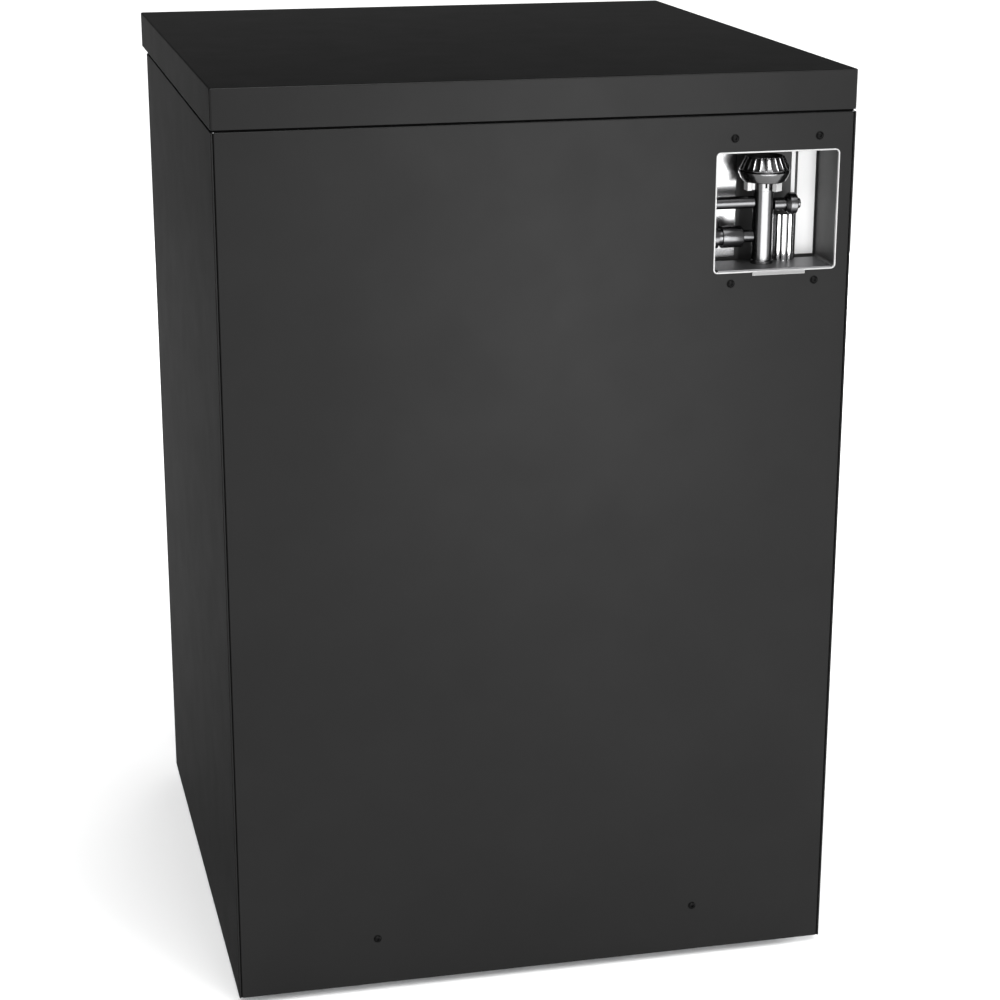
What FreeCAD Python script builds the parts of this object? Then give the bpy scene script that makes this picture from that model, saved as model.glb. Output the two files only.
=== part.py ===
import FreeCAD, Part
import math
import os
import re

import Sketcher
from FreeCAD import Placement, Rotation, Vector

# Under-counter kegerator: a steel cabinet with an overhanging worktop, an insulated keg bay behind
# one front door, a faucet in the header above the door, and a gas regulator in a recess of the back.
# Frame: +Z up, front door towards -Y, origin on the floor under the middle of the whole machine.

DIMENSIONS = {
    # cabinet shell
    "width": 610, "body_depth": 600, "body_height": 862, "foot_gap": 8, "back_y": 392,
    "seam": 1.9, "top_height": 37.6, "overhang": 55, "top_skin": 1.6, "corner_seam": 0.8,
    "side_skin": 2, "back_skin": 1.2, "edge_round": 0.9, "core_inset": 15, "sheet": 1.5,
    # keg bay
    "bay_half": 262, "bay_floor": 112, "bay_top": 832, "bay_back": 350, "liner_wall": 1.5,
    "hump_face": 217, "hump_top": 392, "opening_top": 722, "machine_top": 352, "machine_front": 252,
    "machine_roof": 76,
    # window, recess and its screws
    "window_left": -290.3, "window_right": -167.6, "window_low": 719.9, "window_high": 835.5,
    "window_round": 4.5, "trim_width": 1.6, "trim_depth": 2.5, "recess_depth": 58, "recess_wall": 1.6,
    "flange_side": 12, "flange_end": 19, "screw_x": -227.3, "screw_z": 779.1,
    "screw_spread_x": 83.6, "screw_spread_z": 138.2,
    "plate_sheet": 1.2, "wide_plate": 20.4, "bracket_sheet": 1.4, "lip_left": 33.2, "lip_right": 19.3,
    "lip_proud": 1.3, "lip_drop": 2.9,
    "bottom_screw_z": 58, "bottom_screw_half": 164.6, "screw_hole": 2.1, "screw_shank": 1.95,
    "screw_head": 3.6, "screw_proud": 2, "screw_length": 9,
    # gas regulator
    "reg_x": -225.8, "reg_y": 362, "reg_radius": 10.3, "reg_nut_z": 793.5, "ring_low_z": 813.3,
    "ring_high_z": 826.4, "ring_low_radius": 24.4, "ring_high_radius": 18.8, "bowl_radius": 25,
    "outlet_z": 782.1, "outlet_radius": 6, "union_z": 749.3, "union_radius": 10.4, "inlet_z": 779.2,
    "inlet_pin_radius": 5.1, "inlet_pin_length": 4.3, "nut_height": 8.7, "lug_radius": 18.5,
    "lug_half": 4.6, "filter_height": 45.5, "filter_x": -251.5, "filter_y": 349,
    "filter_radius": 11.5, "elbow_x": -133, "elbow_half": 12,
    # door, header and faucet
    "door_half": 299, "door_low": 98, "door_high": 736, "door_front": -262, "door_skin": 1.2,
    "door_back": -214, "door_liner": 2, "gasket_gap": 0.4, "pin_x": 287, "pin_y": -237,
    "pin_radius": 4, "pin_fit": 0.05, "header_low": 744, "faucet_z": 806, "faucet_y": -318,
    "shank_radius": 11, "front_reach": 394,
    "handle_x": -268, "handle_y": -300, "handle_radius": 6, "handle_low": 300, "handle_high": 560,
    "tray_half": 90, "tray_low": 540, "tray_high": 566, "tray_wall": 1.5,
    "tray_gap": 3, "hook_width": 14, "rest_size": 7, "grate_drop": 8, "grate_thick": 2,
    "grate_room": 0.5, "grate_slot": 4,
    # controls in the header
    "bezel_left": 108, "bezel_right": 232, "bezel_low": 784, "bezel_high": 828, "bezel_lip": 3,
    "bezel_neck": 4.3, "bezel_depth": 12, "lens_left": 140, "lens_right": 182, "lens_low": 792,
    "lens_high": 820, "lens_fit": 0.1, "button_radius": 5, "button_room": 0.3,
    # base pan and machine bay
    "pan_sheet": 2.1, "pan_flange": 64, "bush_height": 16,
    "compressor_x": 20, "compressor_y": 320, "compressor_radius": 58, "mount_half_x": 62,
    "mount_half_y": 48, "grommet_height": 12, "grommet_radius": 9,
    "fan_x": -190, "fan_y": 318, "fan_z": 105, "fan_radius": 46, "fan_hub": 14,
    "hub_length": 12, "spindle": 2,
    "condenser_left": -262, "condenser_right": -214, "condenser_front": 254, "condenser_low": 24,
    "condenser_high": 186, "condenser_pitch": 9, "fin_thick": 1.2, "tube_radius": 4,
    "shroud_half": 54, "fan_arm": 4,
    "pipe_radius": 4, "pipe_hole": 5.5, "pipe_y": 330, "suction_x": 155, "liquid_x": 130,
    # cooler in the keg bay
    "cooler_left": -100, "cooler_right": 180, "cooler_low": 420, "cooler_high": 690,
    "cooler_front": 306, "cooler_wall": 2, "louvre_inset": 20, "louvre_height": 5,
    "blower_x": 0, "blower_z": 610, "blower_radius": 44, "blower_hub": 13, "blower_room": 4,
    "coil_inset": 16, "coil_front": 314, "coil_back": 344, "coil_low": 430, "coil_high": 550,
    "coil_pitch": 12,
    # keg coupler and hoses
    "coupler_x": 215, "coupler_y": 292, "coupler_z": 450, "probe_radius": 7, "probe_fit": 0.05,
    "lever_y": 275, "lever_z": 513, "lever_axle": 3, "ear_half": 9, "slot_half": 4.3,
    "park_half": 33, "park_sheet": 2, "park_height": 60, "hose_radius": 5,
    # feet
    "foot_x": 240, "foot_front_y": -150, "foot_rear_y": 340, "foot_radius": 20, "stud_radius": 5,
}

FRONT = "(back_y - body_depth)"
SHELL_TOP = "(foot_gap + body_height)"
TOP_LOW = "(foot_gap + body_height + seam)"
HALF = "(width / 2)"
INNER = "(width / 2 - side_skin)"

DOC = FreeCAD.newDocument("kegerator")
SHEET = DOC.addObject("Spreadsheet::Sheet", "Dims")
for row, (alias, size) in enumerate(DIMENSIONS.items(), 1):
    SHEET.set(f"A{row}", alias)
    SHEET.set(f"B{row}", str(size))
    SHEET.setAlias(f"B{row}", alias)
DOC.recompute()

ALIAS = re.compile(r"\b(" + "|".join(DIMENSIONS) + r")\b")
NODES = []


# ---------------------------------------------------------------- helpers

def bound(text):
    """An expression in sheet aliases, as FreeCAD reads it."""
    return ALIAS.sub(r"Dims.\1", str(text))


def bind(thing, **sizes):
    for key, value in sizes.items():
        thing.setExpression(key, bound(value))


def place(thing, at, turn=None):
    thing.Placement = Placement(Vector(), turn or Rotation())
    for axis, value in zip("xyz", at):
        thing.setExpression(f"Placement.Base.{axis}", bound(value))


def node(thing, label):
    """Name a finished sub-part."""
    thing.Label = label
    NODES.append(thing)
    return thing


def block(x, y, z):
    """A box between (low, high) pairs."""
    box = DOC.addObject("Part::Box", "block")
    spans = [f"({high}) - ({low})" for low, high in (x, y, z)]
    bind(box, Length=spans[0], Width=spans[1], Height=spans[2])
    place(box, (x[0], y[0], z[0]))
    return box


ALONG = {
    "z": Rotation(),
    "-z": Rotation(Vector(1, 0, 0), 180),
    "x": Rotation(Vector(0, 1, 0), 90),
    "-x": Rotation(Vector(0, 1, 0), -90),
    "y": Rotation(Vector(1, 0, 0), -90),
    "-y": Rotation(Vector(1, 0, 0), 90),
}


def rod(radius, length, at, along="z"):
    cylinder = DOC.addObject("Part::Cylinder", "rod")
    bind(cylinder, Radius=radius, Height=length)
    place(cylinder, at, ALONG[along])
    return cylinder


def cone(radius_start, radius_end, length, at, along="z"):
    shape = DOC.addObject("Part::Cone", "cone")
    bind(shape, Radius1=radius_start, Radius2=radius_end, Height=length)
    place(shape, at, ALONG[along])
    return shape


def hexagon(radius, length, at, along="z"):
    prism = DOC.addObject("Part::Prism", "hexagon")
    prism.Polygon = 6
    bind(prism, Circumradius=radius, Height=length)
    place(prism, at, ALONG[along])
    return prism


def fuse(*shapes):
    joined = DOC.addObject("Part::MultiFuse", "fuse")
    joined.Shapes = list(shapes)
    joined.Refine = True
    return joined


def cut(base, *tools):
    result = DOC.addObject("Part::Cut", "cut")
    result.Base = base
    result.Tool = tools[0] if len(tools) == 1 else fuse(*tools)
    result.Refine = True
    return result


def group(shapes):
    """Several separate solids in one sub-part."""
    compound = DOC.addObject("Part::Compound", "group")
    compound.Links = list(shapes)
    return compound


def grown(box, by):
    """The (x, y, z) pairs of a box, each pushed out by the same amount."""
    return tuple((f"({low}) - ({by})", f"({high}) + ({by})") for low, high in box)


def new_body(label, at=(0, 0, 0), turn=None):
    body = DOC.addObject("PartDesign::Body", label)
    place(body, at, turn)
    return node(body, label)


def origin_of(body, role):
    return next(item for item in body.Origin.OriginFeatures if item.Role == role)


def sketch_on(body, role="XY_Plane", offset="0"):
    sketch = body.newObject("Sketcher::SketchObject", "sketch")
    sketch.AttachmentSupport = (origin_of(body, role), [""])
    sketch.MapMode = "FlatFace"
    if str(offset) != "0":
        sketch.setExpression("AttachmentOffset.Base.z", bound(offset))
    return sketch


def pin_point(sketch, item, spot, x, y):
    """Fix one sketch point at expressions x and y from the sketch's origin."""
    for kind, on_axis, value in (("DistanceX", -2, x), ("DistanceY", -1, y)):
        if str(value) == "0":
            sketch.addConstraint(Sketcher.Constraint("PointOnObject", item, spot, on_axis))
            continue
        number = sketch.addConstraint(Sketcher.Constraint(kind, -1, 1, item, spot, 5.0 + item))
        sketch.setExpression(f"Constraints[{number}]", bound(value))


def draw_outline(sketch, corners):
    """A closed outline of straight sides through the corners."""
    first = len(sketch.Geometry)
    count = len(corners)
    ring = [Vector(50 * math.cos(2 * math.pi * i / count), 50 * math.sin(2 * math.pi * i / count), 0)
            for i in range(count)]
    for i in range(count):
        sketch.addGeometry(Part.LineSegment(ring[i], ring[(i + 1) % count]), False)
    for i in range(count):
        sketch.addConstraint(
            Sketcher.Constraint("Coincident", first + i, 2, first + (i + 1) % count, 1))
    for i, (x, y) in enumerate(corners):
        pin_point(sketch, first + i, 1, x, y)


def draw_rectangle(sketch, x, y):
    draw_outline(sketch, [(x[0], y[0]), (x[1], y[0]), (x[1], y[1]), (x[0], y[1])])


def draw_circle(sketch, x, y, radius):
    item = sketch.addGeometry(Part.Circle(Vector(3, 4, 0), Vector(0, 0, 1), 1), False)
    pin_point(sketch, item, 3, x, y)
    number = sketch.addConstraint(Sketcher.Constraint("Radius", item, 1.0))
    sketch.setExpression(f"Constraints[{number}]", bound(radius))


def pad(body, sketch, length, reverse=False):
    feature = body.newObject("PartDesign::Pad", "pad")
    feature.Profile = sketch
    feature.Reversed = reverse
    bind(feature, Length=length)
    return feature


def pocket(body, sketch, length, reverse=False):
    """Cut a sketch into its body; the volume has to fall."""
    DOC.recompute()
    before = body.Shape.Volume
    feature = body.newObject("PartDesign::Pocket", "pocket")
    feature.Profile = sketch
    feature.Reversed = reverse
    bind(feature, Length=length)
    DOC.recompute()
    if body.Shape.Volume > before - 1e-6:
        raise ValueError(f"{body.Label}: the pocket cuts nothing")
    return feature


def polar(body, feature, count):
    """Repeat a feature round the body's own Z axis."""
    pattern = body.newObject("PartDesign::PolarPattern", "pattern")
    pattern.Originals = [feature]
    pattern.Axis = (origin_of(body, "Z_Axis"), [""])
    pattern.Angle = 360
    pattern.Occurrences = count
    body.Tip = pattern
    return pattern


def linear(body, feature, role, span, count):
    """Repeat a feature along one of the body's own axes."""
    pattern = body.newObject("PartDesign::LinearPattern", "pattern")
    pattern.Originals = [feature]
    pattern.Direction = (origin_of(body, role), [""])
    pattern.Occurrences = count
    bind(pattern, Length=span)
    body.Tip = pattern
    return pattern


def soften(body, radius, chosen, kind="Fillet"):
    """Round or chamfer the chosen edges of the body's last feature."""
    DOC.recompute()
    base = body.Tip
    names = [f"Edge{number}" for number, edge in enumerate(base.Shape.Edges, 1) if chosen(edge)]
    if not names:
        raise ValueError(f"{body.Label}: no edge to soften")
    feature = body.newObject(f"PartDesign::{kind}", kind.lower())
    feature.Base = (base, names)
    bind(feature, **{"Radius" if kind == "Fillet" else "Size": radius})
    return feature


def runs_along(edge, axis):
    """True for a straight edge that lies along X, Y or Z."""
    box = edge.BoundBox
    spans = {"x": box.XLength, "y": box.YLength, "z": box.ZLength}
    across = [length for name, length in spans.items() if name != axis]
    return spans[axis] > 0.5 and max(across) < 1e-4


def turned(label, profile, at=(0, 0, 0), turn=None):
    """A lathe-turned body: (radius, height) corners revolved about the body's Z axis."""
    body = new_body(label, at, turn)
    sketch = sketch_on(body, "XZ_Plane")
    draw_outline(sketch, profile)
    revolution = body.newObject("PartDesign::Revolution", "revolution")
    revolution.Profile = sketch
    revolution.ReferenceAxis = (origin_of(body, "Z_Axis"), [""])
    revolution.Angle = 360
    return body


def tangent_path(points):
    """Straight runs joined by tangent arcs, each as large as its shorter run allows."""
    knots = [Vector(*point) for point in points]
    edges = []
    radii = []
    here = knots[0]
    for before, corner, after in zip(knots, knots[1:], knots[2:]):
        back = before - corner
        ahead = after - corner
        reach = 0.45 * min(back.Length, ahead.Length)
        back.normalize()
        ahead.normalize()
        half_turn = (math.pi - back.getAngle(ahead)) / 2
        radius = reach / math.tan(half_turn)
        inward = (back + ahead).normalize()
        centre = corner + inward * (radius / math.cos(half_turn))
        start = corner + back * reach
        finish = corner + ahead * reach
        edges.append(Part.LineSegment(here, start).toShape())
        edges.append(Part.Arc(start, centre - inward * radius, finish).toShape())
        radii.append(radius)
        here = finish
    edges.append(Part.LineSegment(here, knots[-1]).toShape())
    return Part.Wire(edges), radii


def tube_along(label, radius, points):
    """A round tube along a route, as one solid."""
    path, radii = tangent_path(points)
    heading = Vector(*points[1]) - Vector(*points[0])
    section = Part.Wire(Part.makeCircle(radius, Vector(*points[0]), heading))
    solid = path.makePipeShell([section], True, True)
    expected = math.pi * radius ** 2 * path.Length
    print(f"{label}: length {path.Length:.1f}, volume ratio {solid.Volume / expected:.4f}, "
          f"arc radii {[round(value) for value in radii]}")
    feature = DOC.addObject("Part::Feature", label)
    feature.Shape = solid
    feature.Placement = Placement()
    return feature


# ---------------------------------------------------------------- cabinet shell

def side_panels():
    for name, low, high in (("left_side_panel", f"-{HALF}", f"-{INNER}"),
                            ("right_side_panel", INNER, HALF)):
        body = new_body(name)
        sketch = sketch_on(body, offset="foot_gap")
        draw_rectangle(sketch, (low, high), (FRONT, "back_y"))
        pad(body, sketch, "body_height")
        outer = DIMENSIONS["width"] / 2
        soften(body, "edge_round",
               lambda edge: runs_along(edge, "z") and abs(abs(edge.CenterOfMass.x) - outer) < 0.01)


def screw_spots():
    """The window's four screws and the two at the foot of the back panel, as (x, z)."""
    around = [(f"screw_x + screw_spread_x * {i} / 2", f"screw_z + screw_spread_z * {k} / 2")
              for i in (-1, 1) for k in (-1, 1)]
    return around, [(f"bottom_screw_half * {i}", "bottom_screw_z") for i in (-1, 1)]


def back_panel():
    body = new_body("back_panel", at=(0, "back_y", 0))
    sketch = sketch_on(body, "XZ_Plane")
    edge = f"({INNER} - corner_seam)"
    draw_rectangle(sketch, (f"-{edge}", edge), ("foot_gap", SHELL_TOP))
    draw_rectangle(sketch, ("window_left", "window_right"), ("window_low", "window_high"))
    around, below = screw_spots()
    for x, z in around + below:
        draw_circle(sketch, x, z, "screw_hole")
    pad(body, sketch, "back_skin")
    soften(body, "window_round", lambda item: runs_along(item, "y") and is_window_corner(item))


def is_window_corner(edge):
    spot = edge.CenterOfMass
    return (min(abs(spot.x - DIMENSIONS["window_left"]), abs(spot.x - DIMENSIONS["window_right"])) < 3
            and min(abs(spot.z - DIMENSIONS["window_low"]),
                    abs(spot.z - DIMENSIONS["window_high"])) < 3)


def back_screws():
    around, below = screw_spots()
    screws = []
    for x, z in around + below:
        head = cone("screw_head", "screw_head * 0.72", "screw_proud", (x, "back_y", z), "y")
        shank = rod("screw_shank", "screw_length", (x, "back_y", z), "-y")
        socket = hexagon("screw_head * 0.5", "screw_proud * 0.7",
                         (x, "back_y + screw_proud * 0.35", z), "y")
        screws.append(cut(fuse(head, shank), socket))
    node(group(screws), "back_screws")


def worktop():
    body = new_body("worktop", at=(0, 0, TOP_LOW))
    sketch = sketch_on(body)
    front = f"({FRONT} - overhang)"
    draw_rectangle(sketch, (f"-{HALF}", HALF), (front, "back_y"))
    pad(body, sketch, "top_height")
    height = DIMENSIONS["top_height"]
    soften(body, "edge_round * 1.4",
           lambda edge: runs_along(edge, "z") or edge.BoundBox.ZMin > height - 0.1)
    inside = sketch_on(body)
    draw_rectangle(inside, (f"-{HALF} + top_skin", f"{HALF} - top_skin"),
                   (f"{front} + top_skin", "back_y - top_skin"))
    pocket(body, inside, "top_height - top_skin", reverse=True)
    slits = sketch_on(body)
    for side in (-1, 1):
        edges = sorted((f"{side} * ({INNER})", f"{side} * ({INNER} - corner_seam)"),
                       key=lambda text: "seam" in text, reverse=side > 0)
        draw_rectangle(slits, edges, ("back_y - top_skin - 1", "back_y + 1"))
    pocket(body, slits, "top_height - top_skin - 1", reverse=True)
    core = block((f"-{HALF} + core_inset", f"{HALF} - core_inset"),
                 (f"{front} + core_inset", "back_y - core_inset"),
                 (SHELL_TOP, f"{TOP_LOW} + top_height - top_skin"))
    node(core, "worktop_core")


def feet_spots():
    return {"foot_front_left": ("-foot_x", "foot_front_y"), "foot_front_right": ("foot_x", "foot_front_y"),
            "foot_rear_left": ("-foot_x", "foot_rear_y"), "foot_rear_right": ("foot_x", "foot_rear_y")}


def base_pan():
    floor = block((f"-{INNER}", INNER), (f"{FRONT} + sheet", "back_y - back_skin"),
                  ("foot_gap", "foot_gap + pan_sheet"))
    rear_flange = block((f"-{INNER}", INNER), ("back_y - back_skin - pan_sheet", "back_y - back_skin"),
                        ("foot_gap", "foot_gap + pan_flange"))
    spots = feet_spots().values()
    bushes = [rod("stud_radius * 2", "bush_height", (x, y, "foot_gap")) for x, y in spots]
    bores = [rod("stud_radius + pin_fit", "bush_height + 10", (x, y, "foot_gap - 5")) for x, y in spots]
    bores += [rod("screw_hole", "pan_sheet * 5", (x, "back_y", z), "-y") for x, z in screw_spots()[1]]
    node(cut(fuse(floor, rear_flange, *bushes), *bores), "base_pan")


def levelling_feet():
    for name, (x, y) in feet_spots().items():
        turned(name, [(0, 0), ("foot_radius - 1", 0), ("foot_radius", 1), ("foot_radius", 3),
                      ("stud_radius * 2", 5.5), ("stud_radius * 1.6", 7), ("stud_radius", 7),
                      ("stud_radius", 23), (0, 23)], at=(x, y, 0))


# ---------------------------------------------------------------- keg bay

def bay_boxes():
    """The open space of the keg bay: the keg's own part, and the shelf above the machine bay.

    The recess in the back takes the upper left of the shelf space.
    """
    recess_edge = "(window_right + recess_wall + 16)"
    recess_under = "(window_low - recess_wall - 18)"
    recess_face = "(back_y - back_skin - recess_depth - recess_wall - 12)"
    return [
        (("-bay_half", "bay_half"), (FRONT, "hump_face"), ("bay_floor", "bay_top")),
        (("-bay_half", "bay_half"), ("hump_face - 5", "bay_back"), ("hump_top", recess_under)),
        ((recess_edge, "bay_half"), ("hump_face - 5", "bay_back"), ("hump_top", "bay_top")),
        (("-bay_half", "bay_half"), ("hump_face - 5", recess_face), ("hump_top", "bay_top")),
    ]


def pipe_spots():
    return [("suction_x", "pipe_y"), ("liquid_x", "pipe_y")]


def wall_holes():
    """Bores for the gas elbow and the cooler's two pipes, through foam and liner."""
    gas = rod("outlet_radius", "back_y - bay_back + 18", ("elbow_x", "back_y - 10", "outlet_z"), "-y")
    pipes = [rod("pipe_hole", "cooler_low - machine_top + 52", (x, y, "machine_top - 12"))
             for x, y in pipe_spots()]
    return [gas] + pipes


def inner_liner():
    outside = fuse(*[block(*grown(box, "liner_wall")) for box in bay_boxes()])
    inside = fuse(*[block(*box) for box in bay_boxes()])
    in_front = block((f"-{HALF}", HALF), (f"{FRONT} - 20", f"{FRONT} + sheet"), (0, SHELL_TOP))
    node(cut(outside, inside, in_front, *wall_holes()), "inner_liner")


def insulation_foam():
    whole = block((f"-{INNER}", INNER), (f"{FRONT} + sheet", "back_y - back_skin"),
                  ("machine_roof", f"{SHELL_TOP} - sheet"))
    bay = fuse(*[block(*grown(box, "liner_wall")) for box in bay_boxes()])
    machine = block((f"-{HALF}", HALF), ("machine_front - sheet", "back_y"),
                    (0, "machine_top + sheet"))
    recess = block(("window_left - flange_side - 1", "window_right + 18"),
                   ("back_y - back_skin - recess_depth - recess_wall", "back_y"),
                   ("window_low - flange_end", "window_high + flange_end"))
    elbow = block(("window_right", "elbow_x + elbow_half + 1"),
                  ("bay_back - 5", "reg_y + elbow_half + 2"),
                  ("outlet_z - elbow_half - 1", "outlet_z + elbow_half + 1"))
    behind_header = cut(
        block(("-door_half + door_skin", "door_half - door_skin"), ("door_front + door_skin", FRONT),
              ("header_low + door_skin", f"{SHELL_TOP} - 1 - door_skin")),
        rod("shank_radius", 90, (0, "door_front - 5", "faucet_z"), "y"),
        block(("bezel_left + 2", "bezel_right - 2"), ("door_front - 5", "door_front + bezel_depth + 4"),
              ("bezel_low + 2", "bezel_high - 2")))
    cabinet = cut(whole, bay, machine, recess, elbow, *wall_holes())
    node(group([cabinet, behind_header]), "insulation_foam")


def inner_sheets():
    """The sheet that closes the cabinet's top, and the folded sheet over the machine bay."""
    body = new_body("machine_bay_divider", at=(f"-{INNER}", 0, 0))
    NODES.remove(body)
    sketch = sketch_on(body, "YZ_Plane")
    low_front = f"({FRONT} + sheet)"
    rear = "(back_y - back_skin)"
    draw_outline(sketch, [
        (low_front, "machine_roof - sheet"), ("machine_front", "machine_roof - sheet"),
        ("machine_front", "machine_top"), (rear, "machine_top"), (rear, "machine_top + sheet"),
        ("machine_front - sheet", "machine_top + sheet"), ("machine_front - sheet", "machine_roof"),
        (low_front, "machine_roof")])
    pad(body, sketch, f"2 * {INNER}")
    holes = sketch_on(body, offset="machine_top")
    for x, y in pipe_spots():
        draw_circle(holes, f"{x} + {INNER}", y, "pipe_hole")
    pocket(body, holes, 10, reverse=True)
    lid = block((f"-{INNER}", INNER), (f"{FRONT} + sheet", "back_y - back_skin"),
                (f"{SHELL_TOP} - sheet", SHELL_TOP))
    node(group([body, lid]), "cabinet_inner_sheets")


def front_frame():
    body = new_body("front_frame", at=(0, FRONT, 0))
    sketch = sketch_on(body, "XZ_Plane")
    draw_rectangle(sketch, (f"-{INNER}", INNER), ("foot_gap", SHELL_TOP))
    draw_rectangle(sketch, ("-bay_half", "bay_half"), ("bay_floor", "opening_top"))
    draw_rectangle(sketch, ("-bay_half", "bay_half"), ("foot_gap + 14", "foot_gap + 60"))
    draw_circle(sketch, 0, "faucet_z", "shank_radius")
    pad(body, sketch, "sheet", reverse=True)


def kick_grille():
    body = new_body("kick_grille", at=(0, FRONT, 0))
    sketch = sketch_on(body, "XZ_Plane")
    draw_rectangle(sketch, ("-bay_half - 18", "bay_half + 18"), ("foot_gap + 4", "foot_gap + 76"))
    pad(body, sketch, "sheet * 3")
    slot = sketch_on(body, "XZ_Plane")
    draw_rectangle(slot, ("-bay_half", "-bay_half + 8"), ("foot_gap + 16", "foot_gap + 58"))
    first = pocket(body, slot, "sheet * 4", reverse=True)
    linear(body, first, "X_Axis", "2 * bay_half - 8", 33)


# ---------------------------------------------------------------- recess and gas regulator

def recess_box():
    body = new_body("recess_box", at=(0, "back_y - back_skin", 0))
    flange = sketch_on(body, "XZ_Plane")
    draw_rectangle(flange, ("window_left - flange_side", "window_right + 17"),
                   ("window_low - flange_end + 0.5", "window_high + flange_end - 0.5"))
    for x, z in screw_spots()[0]:
        draw_circle(flange, x, z, "screw_hole")
    pad(body, flange, "recess_wall")
    shell = sketch_on(body, "XZ_Plane")
    draw_rectangle(shell, ("window_left - recess_wall", "window_right + recess_wall"),
                   ("window_low - recess_wall", "window_high + recess_wall"))
    pad(body, shell, "recess_depth + recess_wall")
    hollow = sketch_on(body, "XZ_Plane")
    draw_rectangle(hollow, ("window_left", "window_right"), ("window_low", "window_high"))
    pocket(body, hollow, "recess_depth", reverse=True)
    soften(body, "window_round", lambda edge: runs_along(edge, "y") and is_window_corner(edge)
           and edge.BoundBox.YLength > 50 and is_inner_corner(edge))
    holes = sketch_on(body, "YZ_Plane", offset="window_right - 2")
    for z, radius in (("outlet_z", "outlet_radius"), ("union_z", "union_radius")):
        draw_circle(holes, "reg_y - back_y + back_skin", z, radius)
    pocket(body, holes, 6, reverse=True)


def is_inner_corner(edge):
    spot = edge.CenterOfMass
    return DIMENSIONS["window_left"] - 0.1 < spot.x < DIMENSIONS["window_right"] + 0.1


def window_trim():
    body = new_body("window_trim", at=(0, "back_y", 0))
    sketch = sketch_on(body, "XZ_Plane")
    draw_rectangle(sketch, ("window_left", "window_right"), ("window_low", "window_high"))
    draw_rectangle(sketch, ("window_left + trim_width", "window_right - trim_width"),
                   ("window_low + trim_width", "window_high - trim_width"))
    pad(body, sketch, "trim_depth")
    soften(body, "window_round - trim_width",
           lambda edge: runs_along(edge, "y") and is_trim_inside(edge))
    soften(body, "window_round",
           lambda edge: runs_along(edge, "y") and is_window_corner(edge) and not is_trim_inside(edge))
    lip = sketch_on(body, "XZ_Plane")
    draw_rectangle(lip, ("reg_x - lip_left", "reg_x + lip_right"),
                   ("window_low - lip_drop", "window_low + trim_width * 0.4"))
    pad(body, lip, "lip_proud", reverse=True)


def is_trim_inside(edge):
    spot = edge.CenterOfMass
    inset = DIMENSIONS["trim_width"] - 0.1
    return (DIMENSIONS["window_left"] + inset < spot.x < DIMENSIONS["window_right"] - inset
            and DIMENSIONS["window_low"] + inset < spot.z < DIMENSIONS["window_high"] - inset)


BRACKET_TOP = "(window_low + trim_width + bracket_sheet)"


def recess_fittings():
    """Three bright strips on the recess's end wall, and the bracket that carries the regulator."""
    wall = "(back_y - back_skin - recess_depth)"
    strips = [block((left, right), (wall, f"{wall} + plate_sheet"), ("window_low + 3.6", "window_high - 3"))
              for left, right in (("window_left + 1.8", "window_left + wide_plate"),
                                  ("window_left + wide_plate + 2.5", "window_left + wide_plate + 6.5"),
                                  ("window_right - 40.4", "window_right - 2"))]
    node(group(strips), "recess_back_plates")
    across = ("window_left + window_round", "window_right - window_round")
    front = "(back_y - trim_depth)"
    foot = block(across, (f"{wall} + 14", front), ("window_low", BRACKET_TOP))
    ledge = block(across, (front, "back_y"), ("window_low + trim_width", BRACKET_TOP))
    node(fuse(foot, ledge), "manifold_bracket")


def regulator():
    floor = BRACKET_TOP
    turned("regulator_body", [
        (0, floor), ("reg_radius + 0.8", floor), ("reg_radius + 0.8", f"{floor} + 3"),
        ("reg_radius", f"{floor} + 3.8"), ("reg_radius", "reg_nut_z"), (0, "reg_nut_z")],
        at=("reg_x", "reg_y", 0))

    nut = turned("lock_nut", [
        (0, 0), ("reg_radius + 0.7", 0), ("reg_radius + 0.7", "nut_height"), (0, "nut_height")],
        at=("reg_x", "reg_y", "reg_nut_z"), turn=Rotation(Vector(0, 0, 1), 3))
    lug = sketch_on(nut)
    draw_rectangle(lug, ("reg_radius - 1", "lug_radius"), ("-lug_half", "lug_half"))
    polar(nut, pad(nut, lug, "nut_height"), 3)

    turned("regulator_bonnet", [
        (0, 0), ("bowl_radius - 4.5", 0), ("bowl_radius - 1", 2.2), ("bowl_radius", 5),
        ("bowl_radius", 10.1), ("bowl_radius - 6", 10.1), ("bowl_radius - 6", 11.05), (0, 11.05)],
        at=("reg_x", "reg_y", "reg_nut_z + nut_height"))

    tall = "(ring_high_z - ring_low_z)"
    ring = turned("adjusting_ring", [
        (0, 0), ("ring_low_radius", 0), ("ring_low_radius", 1), ("ring_high_radius", tall),
        ("ring_high_radius - 2.5", tall), ("ring_high_radius - 5", f"{tall} - 7"), (0, f"{tall} - 7")],
        at=("reg_x", "reg_y", "ring_low_z"))
    low = DIMENSIONS["ring_low_radius"]
    narrowing = low - DIMENSIONS["ring_high_radius"]
    lean = math.degrees(math.atan2(narrowing, DIMENSIONS["ring_high_z"] - DIMENSIONS["ring_low_z"]))
    flute = sketch_on(ring)
    flute.AttachmentOffset = Placement(Vector(low + 4, 0, 0), Rotation(Vector(0, 1, 0), -lean))
    draw_circle(flute, 0, 0, 4.7)
    polar(ring, pocket(ring, flute, 30, reverse=True), 24)


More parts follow.
